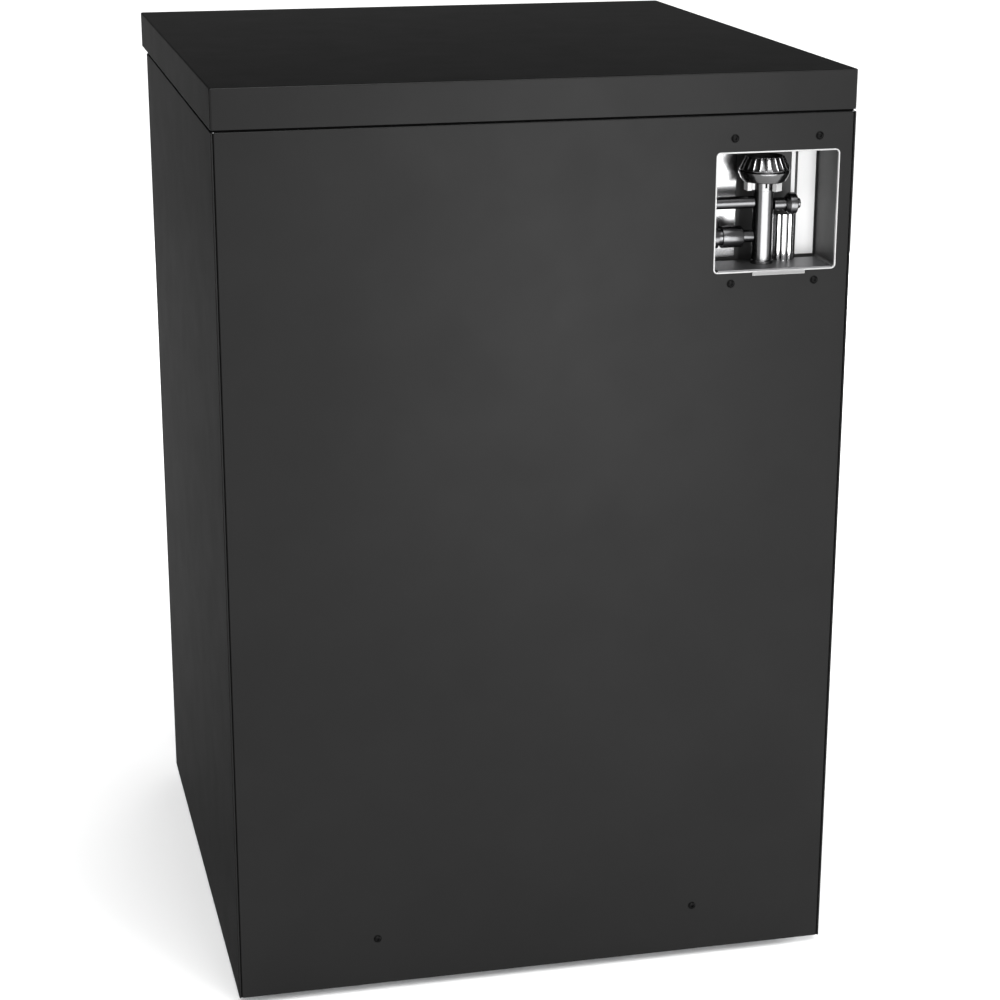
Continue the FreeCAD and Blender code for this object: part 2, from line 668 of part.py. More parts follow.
def gas_fittings():
    reg_side = "(reg_x + reg_radius)"
    outlet = rod("outlet_radius", f"elbow_x - elbow_half - {reg_side}",
                 (reg_side, "reg_y", "outlet_z"), "x")
    wall_end = f"window_right + recess_wall - {reg_side}"
    turned("relief_union", [
        (0, 0), (6, 0), (6, 10.9), ("union_radius - 0.8", 10.9), ("union_radius", 12),
        ("union_radius", 31.3), ("union_radius - 2.4", 31.3), ("union_radius - 2.4", 35.8),
        ("union_radius", 35.8), ("union_radius", wall_end), (0, wall_end)],
        at=(reg_side, "reg_y", "union_z"), turn=ALONG["x"])

    turned("gas_inlet_coupling", [
        (0, 0), (6.3, 0), (6.3, 9.9), (5.2, 9.9), (5.2, 11.7), (6.3, 11.7), (10.5, 16.6), (10.5, 22.1),
        ("inlet_pin_radius", 22.1), ("inlet_pin_radius", "22.1 + inlet_pin_length"),
        (0, "22.1 + inlet_pin_length")],
        at=("reg_x - reg_radius", "reg_y", "inlet_z"), turn=ALONG["-x"])

    turned("gas_filter_bowl", [
        (0, 0), ("filter_radius", 0), ("filter_radius", "filter_height - 1"),
        ("filter_radius - 1", "filter_height"), (0, "filter_height")],
        at=("filter_x", "filter_y", BRACKET_TOP))

    elbow = fuse(
        block(("elbow_x - elbow_half", "elbow_x + elbow_half"),
              ("bay_back + liner_wall", "reg_y + elbow_half"),
              ("outlet_z - elbow_half", "outlet_z + elbow_half")),
        rod("outlet_radius - 0.3", 6, ("elbow_x", "bay_back + liner_wall", "outlet_z"), "-y"),
        rod("hose_radius", 14, ("elbow_x", "bay_back", "outlet_z"), "-y"))
    node(fuse(outlet, elbow), "gas_outlet_tube")


# ---------------------------------------------------------------- door and header

def door():
    pan = cut(
        block(("-door_half", "door_half"), ("door_front", "door_back"), ("door_low", "door_high")),
        block(("-door_half + door_skin", "door_half - door_skin"),
              ("door_front + door_skin", "door_back + 1"),
              ("door_low + door_skin", "door_high - door_skin")),
        rod("pin_radius + 4", "door_skin * 3", ("pin_x", "pin_y", "door_low - 1")),
        rod("pin_radius + 4", "door_skin * 3", ("pin_x", "pin_y", "door_high - 2.6")))
    node(pan, "door_skin_panel")
    foam = cut(
        block(("-door_half + door_skin", "door_half - door_skin"),
              ("door_front + door_skin", "door_back"),
              ("door_low + door_skin", "door_high - door_skin")),
        rod("pin_radius + 4", 20, ("pin_x", "pin_y", "door_low - 1")),
        rod("pin_radius + 4", 20, ("pin_x", "pin_y", "door_high - 19")))
    node(foam, "door_foam")
    node(block(("-door_half", "door_half"), ("door_back", "door_back + door_liner"),
               ("door_low", "door_high")), "door_liner_panel")
    bushes = [cut(rod("pin_radius + 4", 18, ("pin_x", "pin_y", z)),
                  rod("pin_radius + pin_fit", 14, ("pin_x", "pin_y", bore)))
              for z, bore in (("door_low", "door_low - 1"), ("door_high - 18", "door_high - 13"))]
    node(group(bushes), "door_hinge_bushes")

    body = new_body("door_gasket", at=(0, "door_back + door_liner", 0))
    sketch = sketch_on(body, "XZ_Plane")
    draw_rectangle(sketch, ("-bay_half - 17", "bay_half + 17"), ("door_low + 4", "opening_top + 12"))
    draw_rectangle(sketch, ("-bay_half - 7", "bay_half + 7"), ("bay_floor - 4", "opening_top + 4"))
    pad(body, sketch, f"{FRONT} - gasket_gap - door_back - door_liner", reverse=True)
    soften(body, 1, lambda edge: abs(edge.CenterOfMass.y - 3.6) < 0.05)


def hinges():
    """Two brackets on the front frame, each with a pin: one above the door, one below it."""
    brackets = []
    for plate_low, pin_low, pin_length in (("door_high + 2", "door_high - 10", 15),
                                           ("door_low - 5", "door_low - 5", 14)):
        plate = block(("pin_x - 40", "pin_x + 11"), ("pin_y - 12", FRONT),
                      (plate_low, f"{plate_low} + 3"))
        pin = rod("pin_radius", pin_length, ("pin_x", "pin_y", pin_low))
        brackets.append(fuse(plate, pin))
    node(group(brackets), "hinge_brackets")


def door_handle():
    posts = [rod("handle_radius * 0.8", "door_front - handle_y", ("handle_x", "handle_y", z), "y")
             for z in ("handle_low + 30", "handle_high - 30")]
    bar = rod("handle_radius", "handle_high - handle_low", ("handle_x", "handle_y", "handle_low"))
    rounded = DOC.addObject("Part::Fillet", "fillet")
    rounded.Base = bar
    DOC.recompute()
    end_round = DIMENSIONS["handle_radius"] / 3
    rounded.Edges = [(number, end_round, end_round) for number, edge in enumerate(bar.Shape.Edges, 1)
                     if edge.BoundBox.ZLength < 1]
    rail = block((-75, 75), ("door_front - 2.8", "door_front"), ("tray_low + 2", "tray_high - 14.5"))
    node(group([fuse(rounded, *posts), rail]), "door_handle_and_tray_rail")


def bezel_neck(by):
    """The (x, z) pairs of the control bezel's neck, grown a little."""
    return ((f"bezel_left + bezel_neck - {by}", f"bezel_right - bezel_neck + {by}"),
            (f"bezel_low + bezel_neck - {by}", f"bezel_high - bezel_neck + {by}"))


def header():
    low = "header_low"
    high = f"({SHELL_TOP} - 1)"
    neck_x, neck_z = bezel_neck("lens_fit * 3")
    shell = cut(
        block(("-door_half", "door_half"), ("door_front", FRONT), (low, high)),
        block(("-door_half + door_skin", "door_half - door_skin"),
              ("door_front + door_skin", f"{FRONT} + 1"), (f"{low} + door_skin", f"{high} - door_skin")),
        rod("shank_radius", 30, (0, "door_front - 5", "faucet_z"), "y"),
        block(neck_x, ("door_front - 5", "door_front + 10"), neck_z))
    node(shell, "header_fascia")


BUTTONS = {"power_button": 126, "temperature_button": 205}


def controls():
    neck_x, neck_z = bezel_neck(0)
    bezel = cut(
        fuse(block(("bezel_left", "bezel_right"), ("door_front - bezel_lip", "door_front"),
                   ("bezel_low", "bezel_high")),
             block(neck_x, ("door_front", "door_front + bezel_depth"), neck_z)),
        block(("lens_left", "lens_right"), ("door_front - bezel_lip - 1", "door_front - 1"),
              ("lens_low", "lens_high")),
        *[rod("button_radius + button_room", 30, (x, "door_front - 5", "faucet_z"), "y")
          for x in BUTTONS.values()])
    node(bezel, "control_bezel")
    node(block(("lens_left + lens_fit", "lens_right - lens_fit"), ("door_front - 2.6", "door_front - 1"),
               ("lens_low + lens_fit", "lens_high - lens_fit")), "display_lens")
    for name, x in BUTTONS.items():
        node(rod("button_radius", "bezel_depth", (x, "door_front - 5", "faucet_z"), "y"), name)


def faucet():
    front = "faucet_y"
    shank = fuse(
        rod("shank_radius", "-160 - door_front", (0, "door_front", "faucet_z"), "y"),
        rod("shank_radius + 8", 3.5, (0, "door_front - 3.5", "faucet_z"), "y"),
        rod("hose_radius", 18, (0, -160, "faucet_z"), "y"))
    nut = cut(fuse(hexagon(19, 7, (0, f"{FRONT} + sheet", "faucet_z"), "y"),
                   rod(21, 1.6, (0, f"{FRONT} + sheet", "faucet_z"), "y")),
              rod("shank_radius", 30, (0, f"{FRONT} - 5", "faucet_z"), "y"))
    collar = fuse(rod("shank_radius + 6", 14, (0, "door_front - 3.5", "faucet_z"), "-y"),
                  rod("shank_radius + 7", 3, (0, "door_front - 9", "faucet_z"), "-y"))
    node(group([shank, nut, collar]), "faucet_shank_and_nuts")

    barrel = rod(12, f"door_front - 17.5 - ({front} - 10)", (0, f"{front} - 10", "faucet_z"), "y")
    spout = fuse(cone(7.5, 5.5, 46, (0, f"{front} - 2", "faucet_z - 8"), "-z"),
                 rod(8.5, 4, (0, f"{front} - 2", "faucet_z - 30"), "z"))
    neck = rod(8, 16, (0, front, "faucet_z"), "z")
    bore = rod("5 + pin_fit", 70, (0, f"{front} - 6", "faucet_z"), "y")
    throat = rod(3.5, 60, (0, f"{front} - 2", "faucet_z"), "-z")
    lever_well = cone(4, 6.6, 19.5, (0, front, "faucet_z - 3"), "z")
    node(cut(fuse(barrel, spout, neck), bore, throat, lever_well), "faucet_body")

    node(rod(5, 24, (0, f"{front} + 6", "faucet_z"), "y"), "faucet_plunger")
    turned("faucet_lever", [
        (0, 7.5), (2.8, 7.5), (2.8, 26), (10.5, 26), (10.5, 32), (6, 34), (5, 39), (0, 39)],
        at=(0, front, "faucet_z"))
    turned("tap_handle", [
        (0, 39), (8, 39), (9, 43), (11, 62), (12, 74), (10.5, 80), (6, 82.5), (0, 83)],
        at=(0, front, "faucet_z"))


def drip_tray():
    front = "(-front_reach)"
    back = "(door_front - tray_gap)"
    outer = block(("-tray_half", "tray_half"), (front, back), ("tray_low", "tray_high"))
    inner = block(("-tray_half + tray_wall", "tray_half - tray_wall"),
                  (f"{front} + tray_wall", f"{back} - tray_wall"),
                  ("tray_low + tray_wall", "tray_high + 1"))
    hooks = [block((x, f"{x} + hook_width"), (back, f"{back} + 1.4"), ("tray_high - hook_width", "tray_high"))
             for x in ("-60", "60 - hook_width")]
    rests = [block((x, f"{x} + rest_size"), (y, f"{y} + rest_size"), ("tray_low", "tray_high - grate_drop"))
             for x in ("-tray_half", "tray_half - rest_size") for y in (front, f"{back} - rest_size")]
    node(fuse(cut(outer, inner), *hooks, *rests), "drip_tray")

    body = new_body("drip_grate", at=(0, 0, "tray_high - grate_drop"))
    sketch = sketch_on(body)
    draw_rectangle(sketch, ("-tray_half + tray_wall + grate_room", "tray_half - tray_wall - grate_room"),
                   (f"{front} + tray_wall + grate_room", f"{back} - tray_wall - grate_room"))
    pad(body, sketch, "grate_thick")
    slot = sketch_on(body)
    draw_rectangle(slot, ("-tray_half + 8", "-tray_half + 8 + grate_slot"), (f"{front} + 10", f"{back} - 11"))
    first = pocket(body, slot, "grate_thick + 1", reverse=True)
    linear(body, first, "X_Axis", "2 * tray_half - 16 - grate_slot", 19)


# ---------------------------------------------------------------- machine bay

def refrigeration():
    """The sealed compressor on its plate and four grommets."""
    deck = "(foot_gap + pan_sheet)"
    plate_low = f"({deck} + grommet_height)"
    posts = [(f"compressor_x + {i} * mount_half_x", f"compressor_y + {k} * mount_half_y")
             for i in (-1, 1) for k in (-1, 1)]
    grommets = [cut(rod("grommet_radius", "grommet_height", (x, y, deck)),
                    rod("grommet_radius / 3", "grommet_height + 2", (x, y, f"{deck} - 1")))
                for x, y in posts]
    plate = block(("compressor_x - mount_half_x - 10", "compressor_x + mount_half_x + 10"),
                  ("compressor_y - mount_half_y - 9", "compressor_y + mount_half_y + 9"),
                  (plate_low, f"{plate_low} + 3"))
    wide = "compressor_radius"
    dome = turned("compressor_dome", [
        (0, 0), (f"{wide} - 14", 0), (f"{wide} - 2", 14), (f"{wide} - 2", 66), (wide, 68), (wide, 74),
        (f"{wide} - 2", 76), (f"{wide} - 3", 112), (f"{wide} - 12", 132), (f"{wide} - 30", 143), (0, 146)],
        at=("compressor_x", "compressor_y", f"{plate_low} + 3"))
    NODES.remove(dome)
    relay = block(("compressor_x - 22", "compressor_x + 22"),
                  ("compressor_y - compressor_radius - 8", "compressor_y - compressor_radius + 8"),
                  (f"{deck} + 50", f"{deck} + 100"))
    node(group([fuse(plate, dome, relay), *grommets]), "compressor")


def fins_along(first, pitch, count, make):
    """Fins at a regular pitch: make turns each fin's (low, high) into a block."""
    return [make((f"{first} + {i} * {pitch}", f"{first} + {i} * {pitch} + fin_thick"))
            for i in range(count)]


def condenser():
    fins = fins_along("condenser_front", "condenser_pitch", 13, lambda y: block(
        ("condenser_left", "condenser_right"), y, ("condenser_low", "condenser_high")))
    tubes = [rod("tube_radius", "condenser_pitch * 12 + 4", (x, "condenser_front - 1", z), "y")
             for x in ("condenser_left + 12", "condenser_right - 12") for z in range(44, 180, 32)]
    coil = fuse(*fins, *tubes)
    hub_face = "(fan_x + 8)"
    shroud = cut(
        block(("condenser_right + 4", "condenser_right + 10"),
              ("fan_y - shroud_half", "fan_y + shroud_half"), ("condenser_low - 12", "condenser_high")),
        rod("fan_radius + 3", 20, ("condenser_right - 2", "fan_y", "fan_z"), "x"))
    level = ("fan_z - fan_arm", "fan_z + fan_arm")
    cross = block((hub_face, f"{hub_face} + 3"), ("fan_y - shroud_half", "fan_y + shroud_half"), level)
    posts = [block(("condenser_right + 8", f"{hub_face} + 3"), (y, f"{y} + fan_arm"), level)
             for y in ("fan_y - shroud_half", "fan_y + shroud_half - fan_arm")]
    motor = rod("fan_hub + 3", "hub_length * 2 + 2", (hub_face, "fan_y", "fan_z"), "x")
    spindle = rod("spindle", "hub_length", (hub_face, "fan_y", "fan_z"), "-x")
    node(group([coil, fuse(shroud, cross, *posts, motor, spindle)]), "condenser_and_fan_mount")
    fan_wheel("condenser_fan", "fan_radius", "fan_hub", ("fan_x + 6", "fan_y", "fan_z"), ALONG["-x"])


def fan_wheel(name, radius, hub, at, turn):
    """A five-bladed fan on its own Z axis, its hub starting at zero."""
    body = new_body(name, at, turn)
    sketch = sketch_on(body)
    draw_circle(sketch, 0, 0, hub)
    draw_circle(sketch, 0, 0, "spindle + pin_fit")
    pad(body, sketch, "hub_length")
    root = f"({hub} - 1.5)"
    blade = sketch_on(body, "YZ_Plane", offset=root)
    draw_outline(blade, [(-9, 0.5), (-7, 0.5), (9, "hub_length - 0.5"), (7, "hub_length - 0.5")])
    polar(body, pad(body, blade, f"{radius} - {root}"), 5)


def cooler():
    face = ("cooler_front - 4", "cooler_front + 6")
    cover = cut(
        block(("cooler_left", "cooler_right"), ("cooler_front", "bay_back"), ("cooler_low", "cooler_high")),
        block(("cooler_left + cooler_wall", "cooler_right - cooler_wall"),
              ("cooler_front + cooler_wall", "bay_back + 1"),
              ("cooler_low + cooler_wall", "cooler_high - cooler_wall")),
        rod("blower_radius + blower_room", 10, ("blower_x", "cooler_front - 4", "blower_z"), "y"),
        *[block(("cooler_left + louvre_inset", "cooler_right - louvre_inset"), face,
                (z, f"{z} + louvre_height")) for z in range(440, 500, 12)],
        *[rod("pipe_hole", 10, (x, y, "cooler_low - 4")) for x, y in pipe_spots()])
    wall = "cooler_wall"
    guard_rings = [cut(rod(outer, wall, ("blower_x", "cooler_front", "blower_z"), "y"),
                       rod(outer - 2, f"{wall} + 2", ("blower_x", "cooler_front - 1", "blower_z"), "y"))
                   for outer in (18, 30, 42)]
    reach = "(blower_radius + blower_room - 0.1)"
    flat = ("cooler_front", "cooler_front + cooler_wall")
    spokes = [block((f"blower_x - {wide}", f"blower_x + {wide}"), flat,
                    (f"blower_z - {tall}", f"blower_z + {tall}"))
              for wide, tall in ((reach, 1.5), (1.5, reach))]
    node(fuse(cover, *guard_rings, *spokes), "evaporator_cover")
    motor = fuse(rod("blower_hub + 3", 14, ("blower_x", "bay_back - 14", "blower_z"), "y"),
                 rod("spindle", 14, ("blower_x", "bay_back - 14", "blower_z"), "-y"))
    fan_wheel("evaporator_fan", "blower_radius", "blower_hub", ("blower_x", "bay_back - 17", "blower_z"),
              ALONG["-y"])
    fins = fins_along("cooler_left + coil_inset", "coil_pitch", 21, lambda x: block(
        x, ("coil_front", "coil_back"), ("coil_low", "coil_high")))
    tubes = [rod("tube_radius", "coil_pitch * 20 + 6", ("cooler_left + coil_inset - 2", y, z), "x")
             for y in ("coil_front + 7", "coil_back - 7") for z in range(446, 540, 30)]
    node(group([fuse(*fins, *tubes), motor]), "evaporator_coil_and_motor")


def pipes():
    radius = DIMENSIONS["pipe_radius"]
    suction = tube_along("suction", radius, [
        (78.5, 320, 130), (112, 320, 130), (155, 330, 170), (155, 330, 424)])
    discharge = tube_along("discharge", radius, [
        (-38.5, 320, 130), (-70, 320, 130), (-110, 290, 190), (-180, 280, 214), (-226, 282, 214),
        (-226, 282, 187)])
    liquid = tube_along("liquid", radius * 0.75, [
        (-250, 365.1, 140), (-250, 385, 140), (-250, 385, 200), (-150, 384, 260), (60, 378, 290),
        (130, 332, 318), (130, 330, 424)])
    node(group([suction, discharge, liquid]), "refrigerant_pipes")


# ---------------------------------------------------------------- keg coupler and hoses

def coupler():
    """The keg coupler, parked on a bracket: body, sliding probe and pull handle."""
    base = "coupler_z"
    at = ("coupler_x", "coupler_y")
    bore = rod("probe_radius + probe_fit", 150, (*at, f"{base} - 20"))
    axle = ("coupler_x", "lever_y", "lever_z")
    body = fuse(
        rod(27, 16, (*at, base)),
        rod(20, 44, (*at, f"{base} + 14")),
        rod(14, 62, (*at, f"{base} + 14")),
        rod("hose_radius + 1", 34, (*at, f"{base} + 34"), "-x"),
        block(("coupler_x - ear_half", "coupler_x + ear_half"), ("lever_y - 7", "lever_y + 7"),
              ("lever_z - 7", "lever_z + 7")))
    lever_slot = block(("coupler_x - slot_half", "coupler_x + slot_half"), ("lever_y - 9", "lever_y + 8"),
                       ("lever_z - 9", "lever_z + 17"))
    axle_bore = rod("lever_axle + pin_fit", 30, ("coupler_x - 15", *axle[1:]), "x")
    node(cut(body, bore, axle_bore, lever_slot), "coupler_body")
    turned("coupler_probe", [
        (0, 0), (5.5, 0), (5.5, 4), ("probe_radius", 5), ("probe_radius", 92), (11, 92), (11, 104),
        ("hose_radius", 104), ("hose_radius", 116), (0, 116)], at=(*at, f"{base} - 4"))
    lever = fuse(
        rod("lever_axle", 17.6, ("coupler_x - 8.8", *axle[1:]), "x"),
        block(("coupler_x - 4", "coupler_x + 4"), ("lever_y - 4", "lever_y + 4"),
              ("lever_z - 3", "lever_z + 55")),
        rod(6.5, 50, ("coupler_x", "lever_y", "lever_z + 53")))
    node(lever, "coupler_handle")
    across = ("coupler_x - park_half", "coupler_x + park_half")
    bracket = cut(
        fuse(block(across, ("bay_back - park_sheet", "bay_back"), (f"{base} - 8", f"{base} + park_height")),
             block(across, ("coupler_y - 30", "bay_back"), (f"{base} - 8", base))),
        rod(18, 30, (*at, f"{base} - 15")))
    node(bracket, "coupler_park_bracket")


def hoses():
    radius = DIMENSIONS["hose_radius"]
    beer = tube_along("beer_hose", radius, [
        (215, 292, 562), (215, 292, 620), (212, 280, 690), (196, 240, 752), (160, 170, 790),
        (110, 80, 806), (60, -10, 804), (14, -64, 805), (0, -104, 806), (0, -141.8, 806)])
    gas = tube_along("gas_hose", radius, [
        (-133, 336, 782.1), (-133, 294, 782.1), (-108, 258, 778), (-60, 240, 768), (0, 236, 750),
        (50, 241, 708), (74, 256, 650), (76, 274, 596), (80, 288, 540), (114, 292, 484),
        (180.8, 292, 484)])
    node(beer, "beer_hose")
    node(gas, "gas_hose")


# ---------------------------------------------------------------- build, check, write

def build():
    for make in (side_panels, back_panel, back_screws, worktop, base_pan, levelling_feet,
                 inner_liner, insulation_foam, inner_sheets, front_frame, kick_grille,
                 recess_box, window_trim, recess_fittings, regulator, gas_fittings,
                 door, hinges, door_handle, header, controls, faucet, drip_tray,
                 refrigeration, condenser, cooler, pipes, coupler, hoses):
        make()
    DOC.recompute()


def check_and_write():
    for thing in DOC.Objects:
        if {"Invalid", "Error"} & set(thing.State):
            users = [user.Label for user in thing.InList]
            raise ValueError(f"{thing.Label} ({thing.Name}) did not compute: used by {users}")
    for thing in NODES:
        if thing.Shape.isNull() or not thing.Shape.isValid():
            raise ValueError(f"{thing.Label} has no valid shape")
    os.makedirs("parts", exist_ok=True)
    for thing in NODES:
        thing.Shape.exportStep(f"parts/{thing.Label}.step")
    print(f"{len(NODES)} sub-parts written")


build()
check_and_write()
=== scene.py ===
import math

import bmesh
import bpy
from mathutils import Matrix, Vector


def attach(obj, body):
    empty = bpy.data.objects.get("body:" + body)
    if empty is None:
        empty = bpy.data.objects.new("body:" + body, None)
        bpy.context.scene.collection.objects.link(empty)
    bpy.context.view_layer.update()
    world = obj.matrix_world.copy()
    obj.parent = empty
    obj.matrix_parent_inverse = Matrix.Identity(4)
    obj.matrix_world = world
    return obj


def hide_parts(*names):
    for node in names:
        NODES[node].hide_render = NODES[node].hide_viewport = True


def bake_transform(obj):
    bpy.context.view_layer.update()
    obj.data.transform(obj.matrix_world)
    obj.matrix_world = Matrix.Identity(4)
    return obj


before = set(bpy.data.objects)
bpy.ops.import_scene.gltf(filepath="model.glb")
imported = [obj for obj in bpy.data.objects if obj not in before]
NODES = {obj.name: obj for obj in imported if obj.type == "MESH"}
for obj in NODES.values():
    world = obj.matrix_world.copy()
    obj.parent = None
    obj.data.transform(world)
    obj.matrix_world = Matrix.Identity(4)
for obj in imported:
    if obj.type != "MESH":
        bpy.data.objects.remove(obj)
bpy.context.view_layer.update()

# The kegerator seen from behind, as in the photograph: satin black cabinet, rear recess with a chrome
# gas regulator. Lengths are in metres. MM turns the design's millimetres into metres.

MM = 0.001


# ---------------------------------------------------------------- materials

def new_material(name, color, roughness, metallic=0.0, **sockets):
    """A Principled material. Extra sockets are given by their names with underscores for spaces."""
    material = bpy.data.materials.new(name)
    material.use_nodes = True
    shader = material.node_tree.nodes["Principled BSDF"]
    shader.inputs["Base Color"].default_value = (*color, 1.0)
    shader.inputs["Roughness"].default_value = roughness
    shader.inputs["Metallic"].default_value = metallic
    for key, value in sockets.items():
        shader.inputs[key.replace("_", " ")].default_value = value
    return material


def add(material, kind, **values):
    """A node of the given kind, with its sockets or settings filled in."""
    item = material.node_tree.nodes.new(kind)
    for key, value in values.items():
        if key in item.inputs:
            item.inputs[key].default_value = value
        else:
            setattr(item, key, value)
    return item


def link(material, source, target):
    material.node_tree.links.new(source, target)


def shader_of(material):
    return material.node_tree.nodes["Principled BSDF"]


def noise(material, scale, detail=4.0, stretch=(1, 1, 1), roughness=0.55):
    """Noise in object coordinates, so that it moves with its piece."""
    place = add(material, "ShaderNodeTexCoord")
    mapping = add(material, "ShaderNodeMapping")
    mapping.inputs["Scale"].default_value = stretch
    link(material, place.outputs["Object"], mapping.inputs["Vector"])
    texture = add(material, "ShaderNodeTexNoise", Scale=scale, Detail=detail, Roughness=roughness)
    link(material, mapping.outputs["Vector"], texture.inputs["Vector"])
    return texture.outputs["Fac"]


def ramp(material, factor, stops):
    """A colour ramp on a factor. stops are (position, grey or colour)."""
    item = add(material, "ShaderNodeValToRGB")
    elements = item.color_ramp.elements
    while len(elements) < len(stops):
        elements.new(0.5)
    for element, (position, color) in zip(elements, stops):
        element.position = position
        element.color = (*color, 1) if isinstance(color, tuple) else (color, color, color, 1)
    link(material, factor, item.inputs["Fac"])
    return item.outputs["Color"]


def bump(material, height, strength, distance):
    """Bump from a height; several stack, each on the one before."""
    item = add(material, "ShaderNodeBump", Strength=strength, Distance=distance)
    link(material, height, item.inputs["Height"])
    shader = shader_of(material)
    if shader.inputs["Normal"].is_linked:
        link(material, shader.inputs["Normal"].links[0].from_socket, item.inputs["Normal"])
    link(material, item.outputs["Normal"], shader.inputs["Normal"])


def vary_color(material, factor, stops):
    link(material, ramp(material, factor, stops), shader_of(material).inputs["Base Color"])


def vary_roughness(material, factor, low, high):
    spread = add(material, "ShaderNodeMapRange")
    spread.inputs["To Min"].default_value = low
    spread.inputs["To Max"].default_value = high
    link(material, factor, spread.inputs["Value"])
    link(material, spread.outputs["Result"], shader_of(material).inputs["Roughness"])


def powder_coat():
    """Satin black powder coat: fine orange peel, faint cloudiness in the gloss.

    It is shaded as a dark metal whose edge tint keeps the grazing faces as dark as the others.
    """
    edge = (0.2, 0.2, 0.2, 1.0)
    material = new_material("powder_coat", (0.021, 0.021, 0.021), 0.42, 1.0, Specular_Tint=edge)
    vary_color(material, noise(material, 9, 3), [(0.3, 0.0235), (0.7, 0.0255)])
    vary_roughness(material, noise(material, 22, 5), 0.39, 0.46)
    bump(material, noise(material, 420, 3), 0.10, 0.0004)
    bump(material, noise(material, 1500, 2), 0.12, 0.00012)
    return material


def dark_steel():
    """Thinly painted inner steel, duller than the cabinet."""
    material = new_material("dark_steel", (0.018, 0.018, 0.019), 0.5)
    vary_color(material, noise(material, 14, 4), [(0.3, (0.014, 0.014, 0.015)), (0.7, (0.023, 0.023, 0.024))])
    vary_roughness(material, noise(material, 60, 4), 0.42, 0.58)
    bump(material, noise(material, 700, 3), 0.15, 0.0003)
    return material


def painted_shade_black():
    """Near-black painted shade for strips set back in the seams and in the lock ring's slot."""
    # painted shade: a near-black colour for strips put where the seams hold only shade
    material = new_material("painted_shade_black", (0.002, 0.002, 0.002), 0.9, Specular_IOR_Level=0.05)
    vary_color(material, noise(material, 200, 3), [(0.3, 0.0015), (0.7, 0.003)])
    return material


def blackened_screw():
    """Black oxide screw, shaded like the paint but darker."""
    edge = (0.3, 0.3, 0.3, 1.0)
    material = new_material("screw_black", (0.012, 0.012, 0.012), 0.42, 1.0, Specular_Tint=edge)
    vary_color(material, noise(material, 300, 3), [(0.3, 0.010), (0.7, 0.014)])
    vary_roughness(material, noise(material, 500, 3), 0.4, 0.5)
    return material


def recess_grey():
    """Painted steel of the rear recess, a mid grey with a soft sheen."""
    material = new_material("recess_grey", (0.07, 0.07, 0.07), 0.5, 0.6)
    vary_color(material, noise(material, 12, 3), [(0.3, 0.062), (0.7, 0.072)])
    vary_roughness(material, noise(material, 40, 4), 0.45, 0.55)
    bump(material, noise(material, 900, 2), 0.08, 0.0002)
    return material


def zinc_steel():
    """Galvanised sheet with its spangle."""
    material = new_material("zinc_steel", (0.5, 0.51, 0.52), 0.42, 1.0)
    place = add(material, "ShaderNodeTexCoord")
    cells = add(material, "ShaderNodeTexVoronoi", Scale=70.0)
    link(material, place.outputs["Object"], cells.inputs["Vector"])
    vary_color(material, cells.outputs["Color"], [(0.0, (0.40, 0.41, 0.42)), (1.0, (0.58, 0.59, 0.60))])
    vary_roughness(material, noise(material, 40, 4), 0.34, 0.52)
    return material


def brushed_metal(name, color, roughness, stretch, scratch=0.12):
    """Metal brushed along one direction: stretch is small along the grain."""
    material = new_material(name, color, roughness, 1.0)
    grain = noise(material, 320, 5, stretch)
    darker = tuple(0.9 * part for part in color)
    vary_color(material, grain, [(0.25, darker), (0.75, color)])
    vary_roughness(material, grain, roughness * 0.85, roughness * 1.2)
    bump(material, grain, scratch, 0.00008)
    return material


def polished_metal(name, color, roughness):
    """Plated metal with faint swirls and smears in the polish."""
    material = new_material(name, color, roughness, 1.0)
    vary_roughness(material, noise(material, 45, 6), roughness * 0.7, roughness * 1.5)
    vary_color(material, noise(material, 18, 3), [(0.3, tuple(0.95 * part for part in color)), (0.7, color)])
    bump(material, noise(material, 240, 2), 0.02, 0.0001)
    return material


def moulded_plastic(name, color, roughness, grain=900, depth=0.00008):
    material = new_material(name, color, roughness)
    vary_color(material, noise(material, 25, 3),
               [(0.3, tuple(0.94 * part for part in color)), (0.7, color)])
    vary_roughness(material, noise(material, 70, 4), roughness * 0.9, roughness * 1.1)
    bump(material, noise(material, grain, 2), 0.2, depth)
    return material


def vinyl_hose():
    """Translucent beverage hose, slightly milky."""
    material = new_material("vinyl_hose", (0.78, 0.80, 0.78), 0.22, Transmission_Weight=0.55, IOR=1.42)
    vary_roughness(material, noise(material, 90, 4), 0.16, 0.3)
    bump(material, noise(material, 300, 2), 0.06, 0.0002)
    return material


def copper_pipe():
    """Drawn copper with darker handling marks."""
    material = new_material("copper_pipe", (0.80, 0.42, 0.28), 0.28, 1.0)
    vary_color(material, noise(material, 55, 5), [(0.25, (0.48, 0.23, 0.15)), (0.6, (0.83, 0.45, 0.30))])
    vary_roughness(material, noise(material, 120, 4), 0.2, 0.4)
    return material


def foam():
    material = new_material("foam", (0.80, 0.70, 0.42), 0.85)
    vary_color(material, noise(material, 130, 6), [(0.3, (0.62, 0.50, 0.26)), (0.7, (0.86, 0.77, 0.5))])
    bump(material, noise(material, 500, 5), 0.6, 0.0006)
    return material


def board():
    material = new_material("board", (0.42, 0.31, 0.2), 0.75)
    grain = noise(material, 160, 6, (1, 1, 6))
    vary_color(material, grain, [(0.3, (0.30, 0.21, 0.13)), (0.7, (0.48, 0.37, 0.25))])
    bump(material, noise(material, 400, 4), 0.3, 0.0002)
    return material


def digits():
    """Lit display segments, slightly uneven."""
    material = new_material("digits", (0.1, 0.25, 0.5), 0.3, Emission_Strength=1.6)
    color = ramp(material, noise(material, 400, 2), [(0.3, (0.25, 0.6, 0.95)), (0.7, (0.4, 0.75, 1.0))])
    link(material, color, shader_of(material).inputs["Emission Color"])
    return material


